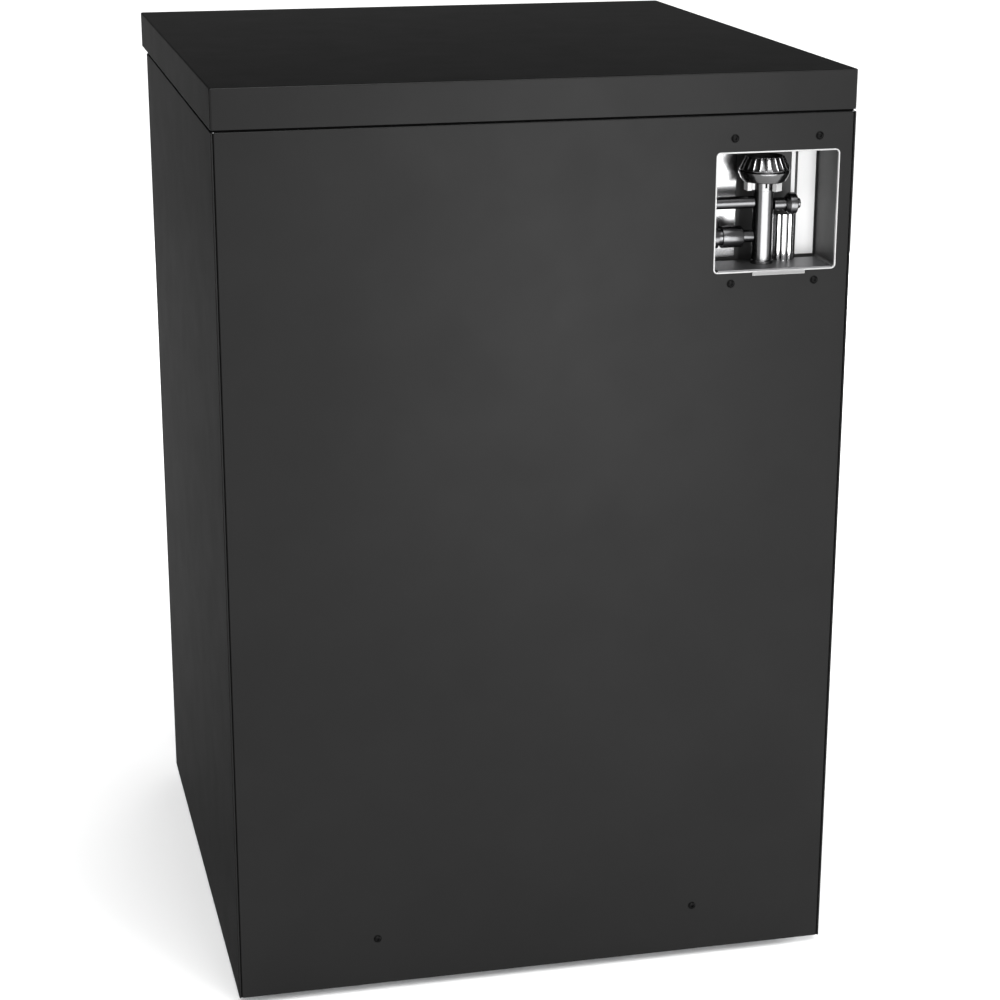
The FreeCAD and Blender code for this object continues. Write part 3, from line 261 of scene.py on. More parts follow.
MATERIALS = {
    "powder_coat": powder_coat(),
    "dark_steel": dark_steel(),
    "zinc_steel": zinc_steel(),
    "stainless": brushed_metal("stainless", (0.62, 0.62, 0.63), 0.26, (1, 1, 0.04)),
    "plate": polished_metal("plate", (0.88, 0.88, 0.89), 0.16),
    "trim": polished_metal("trim", (0.5, 0.5, 0.5), 0.42),
    "lip": brushed_metal("lip", (0.27, 0.27, 0.27), 0.42, (0.06, 1, 1)),
    "recess_grey": recess_grey(),
    "painted_shade_black": painted_shade_black(),
    "white_plate": moulded_plastic("white_plate", (0.80, 0.80, 0.80), 0.4, 500, 0.00004),
    # painted highlight: a lighter grey for the outer ends of the lock ring's lugs, standing in for their lit
    # faces
    "painted_lit_lug_grey": moulded_plastic("painted_lit_lug_grey", (0.27, 0.27, 0.27), 0.35, 500, 0.00004),
    "tray_steel": brushed_metal("tray_steel", (0.20, 0.20, 0.205), 0.42, (0.08, 1, 1), 0.03),
    # painted shade: the regulator's chrome has a dark base so its reflections of the white surroundings come
    # out dark; the tubes take a still darker copy of it
    "regulator": brushed_metal("regulator", (0.12, 0.12, 0.122), 0.2, (1, 1, 0.3), 0.03),
    "regulator_deeper_painted_shade": brushed_metal("regulator_deeper_painted_shade", (0.075, 0.075, 0.077), 0.24, (1, 1, 0.3), 0.03),
    "bright_tube": polished_metal("bright_tube", (0.5, 0.5, 0.505), 0.14),
    "chrome": polished_metal("chrome", (0.78, 0.78, 0.80), 0.06),
    "stainless_across": brushed_metal("stainless_across", (0.62, 0.62, 0.63), 0.28, (0.04, 1, 1)),
    "zinc_plain": polished_metal("zinc_plain", (0.62, 0.63, 0.64), 0.3),
    "screw_black": blackened_screw(),
    "gloss_black": moulded_plastic("gloss_black", (0.012, 0.012, 0.013), 0.12, 60, 0.00003),
    "lens": moulded_plastic("lens", (0.012, 0.014, 0.018), 0.08, 40, 0.00002),
    "digits": digits(),
    "black_plastic": moulded_plastic("black_plastic", (0.02, 0.02, 0.021), 0.38),
    "rubber": moulded_plastic("rubber", (0.022, 0.022, 0.022), 0.68, 600, 0.0003),
    "gasket": moulded_plastic("gasket", (0.32, 0.33, 0.34), 0.55, 700, 0.0001),
    "liner": moulded_plastic("liner", (0.58, 0.59, 0.585), 0.34, 260, 0.00035),
    "button": moulded_plastic("button", (0.10, 0.10, 0.105), 0.3),
    "enamel": moulded_plastic("enamel", (0.01, 0.01, 0.01), 0.14, 130, 0.0003),
    "aluminium": brushed_metal("aluminium", (0.74, 0.75, 0.77), 0.33, (1, 0.1, 1)),
    "copper": copper_pipe(),
    "hose": vinyl_hose(),
    "foam": foam(),
    "board": board(),
}

CARRIED = {
    "dark_steel": ("front_frame", "kick_grille", "hinge_brackets"),
    "recess_grey": ("recess_box",),
    "zinc_steel": ("base_pan", "cabinet_inner_sheets", "condenser_and_fan_mount"),
    "tray_steel": ("manifold_bracket",),
    "stainless": ("coupler_park_bracket",),
    # the regulator's metals carry painted shade, the tubes darker than the body
    "regulator": ("regulator_body",),
    "regulator_deeper_painted_shade": ("gas_outlet_tube", "relief_union"),
    "chrome": ("faucet_plunger", "coupler_body", "coupler_probe"),
    "black_plastic": ("control_bezel",),
    "gasket": ("door_hinge_bushes",),
    "liner": ("inner_liner", "evaporator_cover"),
    "enamel": ("compressor",),
    "aluminium": ("evaporator_coil_and_motor",),
    "copper": ("refrigerant_pipes",),
    "foam": ("insulation_foam", "door_foam"),
    "board": ("worktop_core",),
}


def paint_carried_nodes():
    """Materials for the CAD nodes that no piece stands for."""
    for name, nodes in CARRIED.items():
        for node in nodes:
            mesh = NODES[node].data
            mesh.materials.clear()
            mesh.materials.append(MATERIALS[name])


# ---------------------------------------------------------------- mesh helpers, sizes in millimetres

AXES = {
    "z": Matrix.Identity(4),
    "-z": Matrix.Rotation(math.pi, 4, "X"),
    "x": Matrix.Rotation(math.pi / 2, 4, "Y"),
    "-x": Matrix.Rotation(-math.pi / 2, 4, "Y"),
    "y": Matrix.Rotation(-math.pi / 2, 4, "X"),
    "-y": Matrix.Rotation(math.pi / 2, 4, "X"),
}


def standing(at, axis="z"):
    """Matrix that stands a shape, drawn in millimetres along its own Z, at a place and along an axis."""
    return Matrix.Translation(Vector(at) * MM) @ AXES[axis] @ Matrix.Scale(MM, 4)


def softened(profile, radius):
    """The same open profile with each inner corner rounded."""
    result = [Vector(profile[0])]
    for before, corner, after in zip(profile, profile[1:], profile[2:]):
        before, corner, after = Vector(before), Vector(corner), Vector(after)
        reach = min(radius, 0.45 * (before - corner).length, 0.45 * (after - corner).length)
        start = corner + (before - corner).normalized() * reach
        end = corner + (after - corner).normalized() * reach
        for step in range(5):
            share = step / 4
            result.append(start.lerp(corner, share).lerp(corner.lerp(end, share), share))
    result.append(Vector(profile[-1]))
    return result


def bridge(bm, low, high, material=0):
    """Faces between two rings of vertices; a ring may be a single vertex."""
    steps = max(len(low), len(high))
    for k in range(steps):
        corners = dict.fromkeys((low[k % len(low)], low[(k + 1) % len(low)],
                                 high[(k + 1) % len(high)], high[k % len(high)]))
        if len(corners) > 2:
            bm.faces.new(list(corners)).material_index = material


def lathe(bm, profile, at, axis="z", steps=64, wave=None, material=0):
    """Revolve (radius, height) points; wave(radius, height, angle) may change a radius."""
    place = standing(at, axis)
    rings = []
    for radius, height in profile:
        if radius < 1e-6:
            rings.append([bm.verts.new(place @ Vector((0, 0, height)))])
            continue
        ring = []
        for k in range(steps):
            angle = 2 * math.pi * k / steps
            reach = wave(radius, height, angle) if wave else radius
            spot = Vector((reach * math.cos(angle), reach * math.sin(angle), height))
            ring.append(bm.verts.new(place @ spot))
        rings.append(ring)
    for low, high in zip(rings, rings[1:]):
        bridge(bm, low, high, material)


def slab(bm, x, y, z, radius=1.0, segments=3, material=0):
    """A block between (low, high) pairs with rounded edges."""
    centre = [(low + high) / 2 * MM for low, high in (x, y, z)]
    size = [(high - low) * MM for low, high in (x, y, z)]
    matrix = Matrix.Translation(centre) @ Matrix.Diagonal((*size, 1))
    made = bmesh.ops.create_cube(bm, size=1, matrix=matrix)["verts"]
    edges = list({edge for vert in made for edge in vert.link_edges})
    for face in {face for vert in made for face in vert.link_faces}:
        face.material_index = material
    bmesh.ops.bevel(bm, geom=edges, offset=radius * MM, segments=segments, profile=0.5, affect="EDGES")


def loop(across, along, radius, lift, turn=None, steps=6):
    """Points of a rounded rectangle in a plane at height lift; turn maps (u, v, lift) to (x, y, z)."""
    points = []
    corners = ((across[1], along[1], 0), (across[0], along[1], 90), (across[0], along[0], 180),
               (across[1], along[0], 270))
    for u, v, first in corners:
        centre_u = u - radius if u == across[1] else u + radius
        centre_v = v - radius if v == along[1] else v + radius
        for step in range(steps + 1):
            angle = math.radians(first + 90 * step / steps)
            spot = (centre_u + radius * math.cos(angle), centre_v + radius * math.sin(angle), lift)
            points.append(Vector(turn(*spot) if turn else spot) * MM)
    return points


def loft(bm, loops, cap_first=False, cap_last=False, close=False, material=0):
    rings = [[bm.verts.new(point) for point in points] for points in loops]
    for low, high in zip(rings, rings[1:]):
        bridge(bm, low, high, material)
    if close:
        bridge(bm, rings[-1], rings[0], material)
    for wanted, ring in ((cap_first, rings[0]), (cap_last, rings[-1])):
        if wanted:
            bm.faces.new(ring).material_index = material


def piece(name, bm, materials, body, nodes=(), sharp=38):
    """Make the object, put it on its body and let it stand for its CAD nodes."""
    bmesh.ops.remove_doubles(bm, verts=bm.verts, dist=1e-7)
    bmesh.ops.recalc_face_normals(bm, faces=bm.faces)
    mesh = bpy.data.meshes.new(name)
    bm.to_mesh(mesh)
    bm.free()
    for material in materials:
        mesh.materials.append(MATERIALS[material])
    mesh.polygons.foreach_set("use_smooth", [True] * len(mesh.polygons))
    mesh.set_sharp_from_angle(angle=math.radians(sharp))
    thing = bpy.data.objects.new(name, mesh)
    bpy.context.scene.collection.objects.link(thing)
    normals = thing.modifiers.new("flat_faces", "WEIGHTED_NORMAL")
    normals.weight = 100
    normals.keep_sharp = True
    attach(thing, body)
    if nodes:
        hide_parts(*nodes)
    return thing


def hexed(least):
    """A wave that turns radii above the given one into a hexagon with slightly rounded corners."""
    def wave(radius, height, angle):
        if radius < least:
            return radius
        part = (angle % (math.pi / 3)) - math.pi / 6
        return min(radius, radius * math.cos(math.pi / 6) / math.cos(part) * 1.01)
    return wave


# ---------------------------------------------------------------- rear pieces

SIDE = 305                                      # outer face of a side panel
BACK = 392                                      # outer face of the back sheet
FRONT_EDGE = -208                               # front edge of the side panels
FRONT = -262                                    # outer face of the door and header skins
SHEET_Z = (8, 870)                              # foot and top of the side and back sheets
SKIN_X = (-299, 299)                            # sides of the door and header skins
DOOR_Z = (98, 736)                              # foot and top of the door
TAP_Z = 806                                     # height of the faucet, the display and the buttons
WINDOW = (-290.3, -167.6), (719.9, 835.5)       # opening of the rear window, across and up
PLATE_Y, PLATE_Z = (332.8, 334), (723.5, 832.5)     # thickness and height of the recess plates
REG = (-225.8, 362)                             # upright axis of the regulator


def facing(u, v, lift):
    """Loop points of a shape that stands upright and faces along Y."""
    return (u, lift, v)


def upright(x, z, inset, radius, y):
    """Rounded rectangle that stands across the X and Z ranges, shrunk by the inset."""
    return loop((x[0] + inset, x[1] - inset), (z[0] + inset, z[1] - inset), radius, y, facing)


def lying(x, y, inset, radius, z):
    """Rounded rectangle that lies across the X and Y ranges, shrunk by the inset."""
    return loop((x[0] + inset, x[1] - inset), (y[0] + inset, y[1] - inset), radius, z)


def rounded_edge(radius, steps=4):
    """(inset, drop) pairs around a quarter round."""
    turns = [math.pi / 2 * i / steps for i in range(steps + 1)]
    return [(radius * (1 - math.cos(turn)), radius * (1 - math.sin(turn))) for turn in turns]


def cabinet_skin():
    """Side sheets, back sheet with its window, and the folded worktop pan, all with rounded folds."""
    for side, low, high in (("left", -SIDE, 2 - SIDE), ("right", SIDE - 2, SIDE)):
        bm = bmesh.new()
        slab(bm, (low, high), (FRONT_EDGE, BACK), SHEET_Z, 0.95, 4)
        piece(f"{side}_sheet", bm, ["powder_coat"], "root", [f"{side}_side_panel"])

    x, z, sheet = (-302.4, 302.4), SHEET_Z, 1.2
    window_x, window_z = WINDOW
    bm = bmesh.new()
    outside = [upright(x, z, inset, 1.6, BACK - drop) for inset, drop in rounded_edge(1.1)]
    inside = [upright(window_x, window_z, -0.1, 4.6, y) for y in (BACK, BACK - sheet)]
    loft(bm, [upright(x, z, 0, 1.6, BACK - sheet)] + outside + inside, close=True)
    piece("back_sheet", bm, ["powder_coat"], "root", ["back_panel"])

    x, y, low, top = (-SIDE, SIDE), (FRONT - 1, BACK), 871.9, 909.5
    bm = bmesh.new()
    folds = [lying(x, y, inset, 2.2, top - drop) for inset, drop in rounded_edge(1.4)]
    rim = [lying(x, y, inset, 2.2, low + drop) for inset, drop in reversed(rounded_edge(0.5, 3))]
    loft(bm, [lying(x, y, 1.6, 1.6, top - 2), lying(x, y, 1.6, 1.6, low)] + rim + folds, cap_first=True,
         cap_last=True)
    piece("worktop_pan", bm, ["powder_coat"], "root", ["worktop"])


def seam_shade_strips():
    """Black strips of painted shade in the seams: down both rear corners, round under the worktop and over
    the header.
    """
    bm = bmesh.new()
    # painted shade: each strip fills a seam so that it reads dark
    for low in (-303.1, 302.1):
        slab(bm, (low, low + 1), (389, 391.3), (8.4, 869.6), 0.3, 2)
    slab(bm, (-297, 297), (-259, -252), (869.05, 871.8), 0.4, 2)
    outline = [(1.9, 869.8), (1.9, 872.1), (6, 872.1), (6, 869.8)]
    x, y = (-SIDE, SIDE), (FRONT_EDGE, BACK)
    loft(bm, [lying(x, y, inset, 1.4, height) for inset, height in outline], close=True)
    piece("seam_shade_strip", bm, ["painted_shade_black"], "root")


def front_skin():
    """Door skin and header fascia, pressed with rounded front edges."""
    for name, body, z, back, node in (("door_skin", "door", DOOR_Z, -214, "door_skin_panel"),
                                      ("header_skin", "root", (744, 869), -208.2, "header_fascia")):
        bm = bmesh.new()
        folds = [upright(SKIN_X, z, inset, 3.2, FRONT + drop) for inset, drop in rounded_edge(2.4, 5)]
        loft(bm, [upright(SKIN_X, z, 1.2, 2.2, FRONT + 3.2), upright(SKIN_X, z, 1.2, 2.2, back),
                  upright(SKIN_X, z, 0, 3.2, back)] + folds, cap_first=True, cap_last=True)
        piece(name, bm, ["powder_coat"], body, [node])


def window_pieces():
    """Bright edge trim with its lip, and the plates on the recess's end wall."""
    x, z = WINDOW
    bm = bmesh.new()
    outline = [(0.05, BACK - 2.4), (0.05, BACK + 0.05), (0.25, BACK + 0.25), (1.25, BACK + 0.25), (1.5, BACK),
               (1.5, BACK - 2.4)]
    loft(bm, [upright(x, z, inset, 4.5 - inset, y) for inset, y in outline], close=True)
    slab(bm, (-259, -206.5), (BACK - 1.4, BACK + 1.3), (717, 720.4), 0.35, material=1)
    piece("trim_ring", bm, ["trim", "lip"], "root", ["window_trim"])

    bm = bmesh.new()
    slab(bm, (-208, -169.6), PLATE_Y, PLATE_Z, 0.4)
    piece("recess_plate", bm, ["plate"], "root", ["recess_back_plates"])
    bm = bmesh.new()
    slab(bm, (-288.5, -269.9), PLATE_Y, PLATE_Z, 0.4)
    slab(bm, (-267.4, -263.4), PLATE_Y, PLATE_Z, 0.4)
    piece("white_recess_plates", bm, ["white_plate"], "root")


def lock_ring():
    """Ring under the bonnet with three square lugs, their ends a lighter grey as painted highlight, and a
    black slab as painted shade for a slot.
    """
    bm = bmesh.new()
    lathe(bm, softened([(0, 793.5), (11, 793.5), (11, 802.2), (0, 802.2)], 0.4), (*REG, 0), "z", 72)
    for turn in (3, 123, 243):
        made = bmesh.new()
        slab(made, (9, 14), (-3.6, 3.6), (794.2, 801.4), 0.3)
        # painted highlight on the outer lug end, lighter than the nut's metal at the lug root beside it
        slab(made, (13.6, 18.5), (-4.6, 4.6), (793.6, 802.1), 0.45, material=1)
        turned = Matrix.Rotation(math.radians(turn), 4, "Z")
        made.transform(Matrix.Translation(Vector((*REG, 0)) * MM) @ turned)
        spare = bpy.data.meshes.new("lug")
        made.to_mesh(spare)
        made.free()
        bm.from_mesh(spare)
        bpy.data.meshes.remove(spare)
    # painted shade: a black slab just proud of the core, where a slot's shade would fall
    slab(bm, (REG[0] + 0.2, REG[0] + 2.2), (REG[1] + 10, REG[1] + 11.4), (796.4, 801.8), 0.2, material=2)
    piece("lock_ring", bm, ["regulator", "painted_lit_lug_grey", "painted_shade_black"], "root", ["lock_nut"])


WINDOW_SCREWS = [(-227.3 + i * 41.8, 779.1 + k * 69.1) for i in (-1, 1) for k in (-1, 1)]
SCREWS = WINDOW_SCREWS + [(-164.6, 58), (164.6, 58)]


def panel_screws():
    """Black pan-head screws with a six-lobed recess and a thin washer face."""
    bm = bmesh.new()
    outline = [(0, 0.7), (1.1, 0.7), (1.35, 1.95), (1.6, 2.05), (2.4, 1.9), (3.1, 1.35), (3.45, 0.7),
               (3.5, 0.45), (3.9, 0.4), (4.0, 0.2), (3.9, 0.02)]

    def lobed(radius, height, angle):
        return radius * (1 + 0.16 * math.cos(6 * angle)) if radius < 1.4 else radius

    for x, z in SCREWS:
        lathe(bm, outline, (x, BACK, z), "y", 36, lobed)
    piece("panel_screws", bm, ["screw_black"], "root", ["back_screws"])


def adjusting_ring():
    """Conical ring with 24 sharp ridges and a dark recessed top."""
    def fluted(radius, height, angle):
        if radius < 18.5 or height < 0.9:
            return radius
        fade = min(1, (height - 0.9) / 0.5)
        return radius - 0.8 * fade * abs(math.sin(12 * angle)) ** 0.55

    low, high, tall = 24.4, 18.8, 13.1
    bm = bmesh.new()
    slope = [(low + (high - low) * i / 8, 1.2 + (tall - 1.6) * i / 8) for i in range(9)]
    foot = [(0, 0.01), (23.4, 0.01), (24.2, 0.3), (low, 0.9)]
    outer = foot + slope + [(18.2, 13.0), (17.6, 13.1), (16.8, 12.9)]
    lathe(bm, outer, (*REG, 813.3), steps=288, wave=fluted)
    dish = [(16.8, 12.9), (16.2, 12.0), (14.6, 7.2), (13.6, 6.6), (5, 6.4), (4.6, 7.4), (3.8, 7.8), (0, 7.8)]
    lathe(bm, dish, (*REG, 813.3), steps=96, material=1)
    piece("pressure_ring", bm, ["regulator", "black_plastic"], "adjusting_ring",
          ["adjusting_ring"], 25)


def regulator_pieces():
    """Bonnet bowl under the ring, stepped gas inlet coupling, and the fluted filter bowl."""
    bm = bmesh.new()
    bowl = [(0, 0), (19.8, 0), (20.5, 0.2), (21.1, 0.8), (22.9, 4.2), (24.2, 7.2), (24.9, 9.0), (24.9, 9.6),
            (24.4, 10.1), (19, 10.1), (19, 11.05), (0, 11.05)]
    lathe(bm, bowl, (*REG, 802.2), steps=128)
    piece("bonnet_bowl", bm, ["regulator"], "root", ["regulator_bonnet"])

    bm = bmesh.new()
    cap = [(0, 0), (6.3, 0), (6.3, 9.6), (6.0, 9.9), (5.2, 9.9), (5.2, 11.7), (6.4, 11.7), (7.0, 12.1),
           (9.9, 14.9), (10.5, 15.8), (10.5, 21.4), (9.9, 22.1), (5.6, 22.1), (5.1, 22.5), (5.1, 25.8),
           (4.6, 26.4), (3.1, 26.4), (3.1, 18), (0, 18)]
    lathe(bm, cap, (REG[0] - 10.2, REG[1], 779.2), "-x", 96)
    piece("inlet_coupling", bm, ["regulator_deeper_painted_shade"], "root", ["gas_inlet_coupling"])

    bm = bmesh.new()

    def fluted(radius, height, angle):
        return radius - 0.9 * abs(math.sin(8 * angle)) if radius > 11.2 else radius

    bowl = [(0, 0), (10.6, 0), (11.3, 0.6), (11.5, 1.2), (11.5, 44.2), (11.0, 45.0), (10.2, 45.5), (0, 45.5)]
    lathe(bm, bowl, (-251.5, 349, 722.9), steps=192, wave=fluted)
    piece("filter_bowl_fluted", bm, ["bright_tube"], "root", ["gas_filter_bowl"], 30)


# ---------------------------------------------------------------- front pieces

def door_handle():
    """Turned bar with rounded ends on two flared posts, and the flat rail for the drip tray."""
    bm = bmesh.new()
    bar = [(0, 0), (3.4, 0.2), (5.2, 1.2), (6, 3.2), (6, 20), (6.15, 20.4), (6.15, 21.6), (6, 22), (6, 238),
           (6.15, 238.4), (6.15, 239.6), (6, 240), (6, 256.8), (5.2, 258.8), (3.4, 259.8), (0, 260)]
    lathe(bm, bar, (-268, -300, 300), steps=48)
    post = [(4.3, 0), (4.3, 4), (4.6, 20), (5.0, 28), (6.2, 33), (8.6, 36.2), (9.6, 36.8), (9.8, 38)]
    for z in (330, 530):
        lathe(bm, post, (-268, -300, z), "y", 40)
    slab(bm, (-75, 75), (-264.8, FRONT), (542, 551.5), 0.9)
    piece("handle_bar_and_rail", bm, ["stainless_across"], "door", ["door_handle_and_tray_rail"])


def control_pieces():
    """Display lens with lit digits on its face, and two push buttons, each with a ring groove."""
    bm = bmesh.new()
    slab(bm, (140.1, 181.9), (-264.6, -263), (792.1, 819.9), 0.5, material=0)
    lit = {"3": "abcdg", "8": "abcdefg"}
    wide, tall, bar = 9.0, 8.0, 1.5
    for x, digit in ((149.5, "3"), (164.5, "8")):
        spots = {"a": (0, tall, 1), "g": (0, 0, 1), "d": (0, -tall, 1),
                 "b": (wide / 2, tall / 2, 0), "c": (wide / 2, -tall / 2, 0),
                 "f": (-wide / 2, tall / 2, 0), "e": (-wide / 2, -tall / 2, 0)}
        for name, (dx, dz, level) in spots.items():
            if name not in lit[digit]:
                continue
            half_x, half_z = (wide / 2 - bar, bar / 2) if level else (bar / 2, tall / 2 - bar / 2)
            centre_x, centre_z = x + dx + 2, TAP_Z + dz
            slab(bm, (centre_x - half_x, centre_x + half_x), (-264.75, -264.5),
                 (centre_z - half_z, centre_z + half_z), 0.1, 1, material=1)
    piece("display_window", bm, ["lens", "digits"], "root", ["display_lens"])
    for name, x in (("power_button", 126), ("temperature_button", 205)):
        bm = bmesh.new()
        cap = [(0, 12), (5, 12), (5, 1.0), (4.7, 0.4), (4.1, 0.12), (3.1, 0.0), (2.9, 0.3), (2.4, 0.3),
               (2.2, 0.02), (0, 0)]
        lathe(bm, cap, (x, FRONT - 5, TAP_Z), "y", 40)
        piece(f"{name}_cap", bm, ["button"], name, [name])


def faucet_pieces():
    """Shank with its flange, collar and nut, the faucet body, and the lever with its turned grip."""
    stem = -318
    bm = bmesh.new()
    flange = [(0, 4), (18.9, 4), (18.9, 3.4), (18.2, 1.4), (16.2, 0.4), (13, 0), (0, 0)]
    lathe(bm, flange, (0, FRONT - 4, TAP_Z), "y", 72)
    collar = softened([(0, 0), (15.6, 0), (17, 1.4), (17, 4.2), (17.8, 5), (17.8, 9), (17, 9.8), (17, 12.4),
                       (15.4, 14), (0, 14)], 0.6)

    def gripped(radius, height, angle):
        return radius - 0.8 * max(0, math.cos(8 * angle)) ** 6 if radius > 16.9 else radius

    lathe(bm, collar, (0, FRONT - 3.5, TAP_Z), "-y", 192, gripped)
    shank = [(0, 0), (11, 0)]
    for turn in range(40):
        shank += [(11, 2 + turn * 2.4), (10.4, 3.2 + turn * 2.4)]
    shank += [(11, 99), (9.4, 101.5), (5.2, 102), (5.2, 107), (5.7, 109), (5.2, 110), (5.2, 112), (5.7, 114),
              (5.0, 116), (4.4, 120), (0, 120)]
    lathe(bm, shank, (0, FRONT, TAP_Z), "y", 48)
    six_sided = hexed(17.5)

    def above_washer(radius, height, angle):
        return six_sided(radius, height, angle) if height > 1.5 else radius

    nut = [(11.2, 0), (20.6, 0), (21, 0.5), (21, 1.2), (19, 1.6), (19, 8.2), (18, 8.6), (11.2, 8.6)]
    lathe(bm, nut, (0, -206.4, TAP_Z), "y", 72, above_washer)
    piece("faucet_shank", bm, ["chrome"], "root", ["faucet_shank_and_nuts"], 32)

    bm = bmesh.new()
    barrel = softened([(5.2, 0), (9.6, 0), (12, 3.4), (12, 16), (12.6, 17), (12.6, 21), (12, 22), (12, 45),
                       (11.2, 48.2), (5.2, 48.5)], 1.2)
    lathe(bm, barrel, (0, stem - 10, TAP_Z), "y", 64)
    spout = softened([(7, 0), (8.4, 6), (7.4, 10), (7.0, 20), (8.4, 21.5), (8.4, 25.5), (7.0, 27), (5.9, 44),
                      (6.2, 45.4), (5.4, 46), (3.6, 46), (3.5, 16)], 0.8)
    lathe(bm, spout, (0, stem - 2, TAP_Z - 8), "-z", 48)
    neck = softened([(7.6, 0), (8.6, 9), (8.6, 13.4), (7.9, 16), (6.7, 16), (6.0, 9)], 0.6)
    lathe(bm, neck, (0, stem, TAP_Z), "z", 48)
    piece("faucet_shell", bm, ["chrome"], "root", ["faucet_body"], 32)

    bm = bmesh.new()
    lever = softened([(0, 7.5), (2.7, 7.6), (2.7, 25), (3.6, 26), (9.4, 26.2), (10.5, 27.4), (10.5, 30.6),
                      (9.4, 32), (6.6, 33), (5.4, 36), (5.4, 39), (0, 39)], 0.7)
    lathe(bm, lever, (0, stem, TAP_Z), "z", 48)
    piece("lever_stem", bm, ["chrome"], "faucet_lever", ["faucet_lever"], 32)

    bm = bmesh.new()
    grip = softened([(0, 39.2), (7.4, 39.2), (8.1, 40.4), (8.6, 44), (9.4, 52), (10.8, 62), (11.9, 72),
                     (11.6, 77.5), (9.6, 81.2), (6, 82.7), (0, 83)], 2.2)
    lathe(bm, grip, (0, stem, TAP_Z), "z", 56)
    piece("tap_grip", bm, ["gloss_black"], "faucet_lever", ["tap_handle"], 60)


def drip_tray_pieces():
    """Rounded tray with a rolled rim, and a wire grate in a rounded frame."""
    bm = bmesh.new()
    x, y = (-90, 90), (-394, -265)

    def ring(inset, radius, lift):
        return lying(x, y, inset, radius, lift)

    walls = [(3, 3, 540), (1.0, 5, 540.7), (0.3, 6, 542), (0.3, 6, 564.2), (0, 6.2, 564.8),
             (0, 6.2, 565.5), (0.6, 6, 566), (1.2, 5.6, 565.7), (1.5, 5.2, 565), (1.5, 5, 543),
             (2.4, 4, 541.9), (4.5, 2, 541.5)]
    loft(bm, [ring(*wall) for wall in walls], cap_first=True, cap_last=True)
    for low in (-60, 46):
        slab(bm, (low, low + 14), (-265.4, -263.6), (552, 566), 0.5)
    for post_x in (-85, 85):
        for post_y in (-389, -270):
            post = softened([(3.2, 0), (2.8, 15), (2.2, 16.4), (0, 16.5)], 0.5)
            lathe(bm, post, (post_x, post_y, 541.4), "z", 20)
    piece("tray_pan", bm, ["stainless_across"], "drip_tray", ["drip_tray"])

    bm = bmesh.new()

    def frame_ring(inset, lift):
        return lying((-87.6, 87.6), (-391.6, -267.4), inset, 4.2 - inset, lift)

    rim = [(0, 558.6), (0, 559.6), (0.6, 560), (2.2, 560), (2.6, 559.6), (2.6, 558.6), (2.0, 558.1),
           (0.6, 558.1)]
    loft(bm, [frame_ring(*step) for step in rim], close=True)
    for i in range(23):
        lathe(bm, [(0, 0), (0.9, 0.4), (0.9, 119.6), (0, 120)], (-82.5 + i * 7.5, -389.5, 559), "y", 12)
    for y_bar in (-352, -329.5, -307):
        lathe(bm, [(0, 0), (0.7, 0.4), (0.7, 171.6), (0, 172)], (-86, y_bar, 558.75), "x", 12)
    piece("grate_wires", bm, ["chrome"], "drip_grate", ["drip_grate"])


def door_lining():
    """Vacuum-formed inner panel, its raised field crossed by one shallow channel, and the gasket."""
    def ring(inset, radius, lift):
        return upright(SKIN_X, DOOR_Z, inset, radius, lift)
    bm = bmesh.new()
    field = [(0, 1.5, -214), (0, 1.5, -212.5), (0.5, 1.5, -212), (52, 18, -212), (54, 18, -211.6),
             (57, 17, -209), (60, 16, -204.5), (62, 15, -203.4), (64, 14, -203), (92, 12, -203),
             (93.4, 11, -203.4), (95, 10, -205.6), (97, 9, -206.2), (103, 8, -206.2), (105, 8, -205.6),
             (106.6, 7, -203.4), (108, 6, -203)]
    loft(bm, [ring(*step) for step in field], cap_first=True, cap_last=True)
    piece("door_liner_formed", bm, ["liner"], "door", ["door_liner_panel"])

    bm = bmesh.new()

    def seal(grow, lift):
        return upright((-269, 269), (DOOR_Z[0] + 10, DOOR_Z[1] - 10), -grow, 3 + max(grow, 0), lift)

    section = [(1, -212), (0.3, -211.4), (1.4, -210.6), (0.2, -209.9), (0.6, -208.9), (1.8, -208.45),
               (8.2, -208.45), (9.4, -208.9), (9.8, -209.9), (8.6, -210.6), (9.7, -211.4), (9, -212)]
    loft(bm, [seal(grow * 0.78 + 0.3, lift) for grow, lift in section], close=True)
    piece("gasket_bellows", bm, ["gasket"], "door", ["door_gasket"], 50)


def feet():
    """Rubber pad under a plated hex flange and a threaded stud."""
    def notched(radius, height, angle):
        return radius - 0.5 * max(0, math.cos(16 * angle)) ** 4 if radius > 19.2 else radius

    for name, x, y in (("foot_front_left", -240, -150), ("foot_front_right", 240, -150),
                       ("foot_rear_left", -240, 340), ("foot_rear_right", 240, 340)):
        bm = bmesh.new()
        pad = [(0, 0), (18.6, 0), (19.4, 0.6), (20, 1.2), (20, 3.2), (18.5, 4.2), (12, 5.2), (0, 5.4)]
        lathe(bm, softened(pad, 0.5), (x, y, 0), "z", 64, notched)
        flange = [(0, 5.2), (10, 5.2), (10.4, 5.6), (10.4, 6.8), (9.6, 7.2), (0, 7.2)]
        lathe(bm, flange, (x, y, 0), "z", 48, hexed(9), material=1)
        thread = [(4.4, 7.1)]
        for turn in range(10):
            thread += [(4.95, 8 + turn * 1.5), (4.5, 8.75 + turn * 1.5)]
        lathe(bm, thread + [(4.2, 23), (0, 23)], (x, y, 0), "z", 32, material=1)
        piece(f"{name}_pad", bm, ["rubber", "zinc_plain"], name, [name])


# ---------------------------------------------------------------- inside pieces

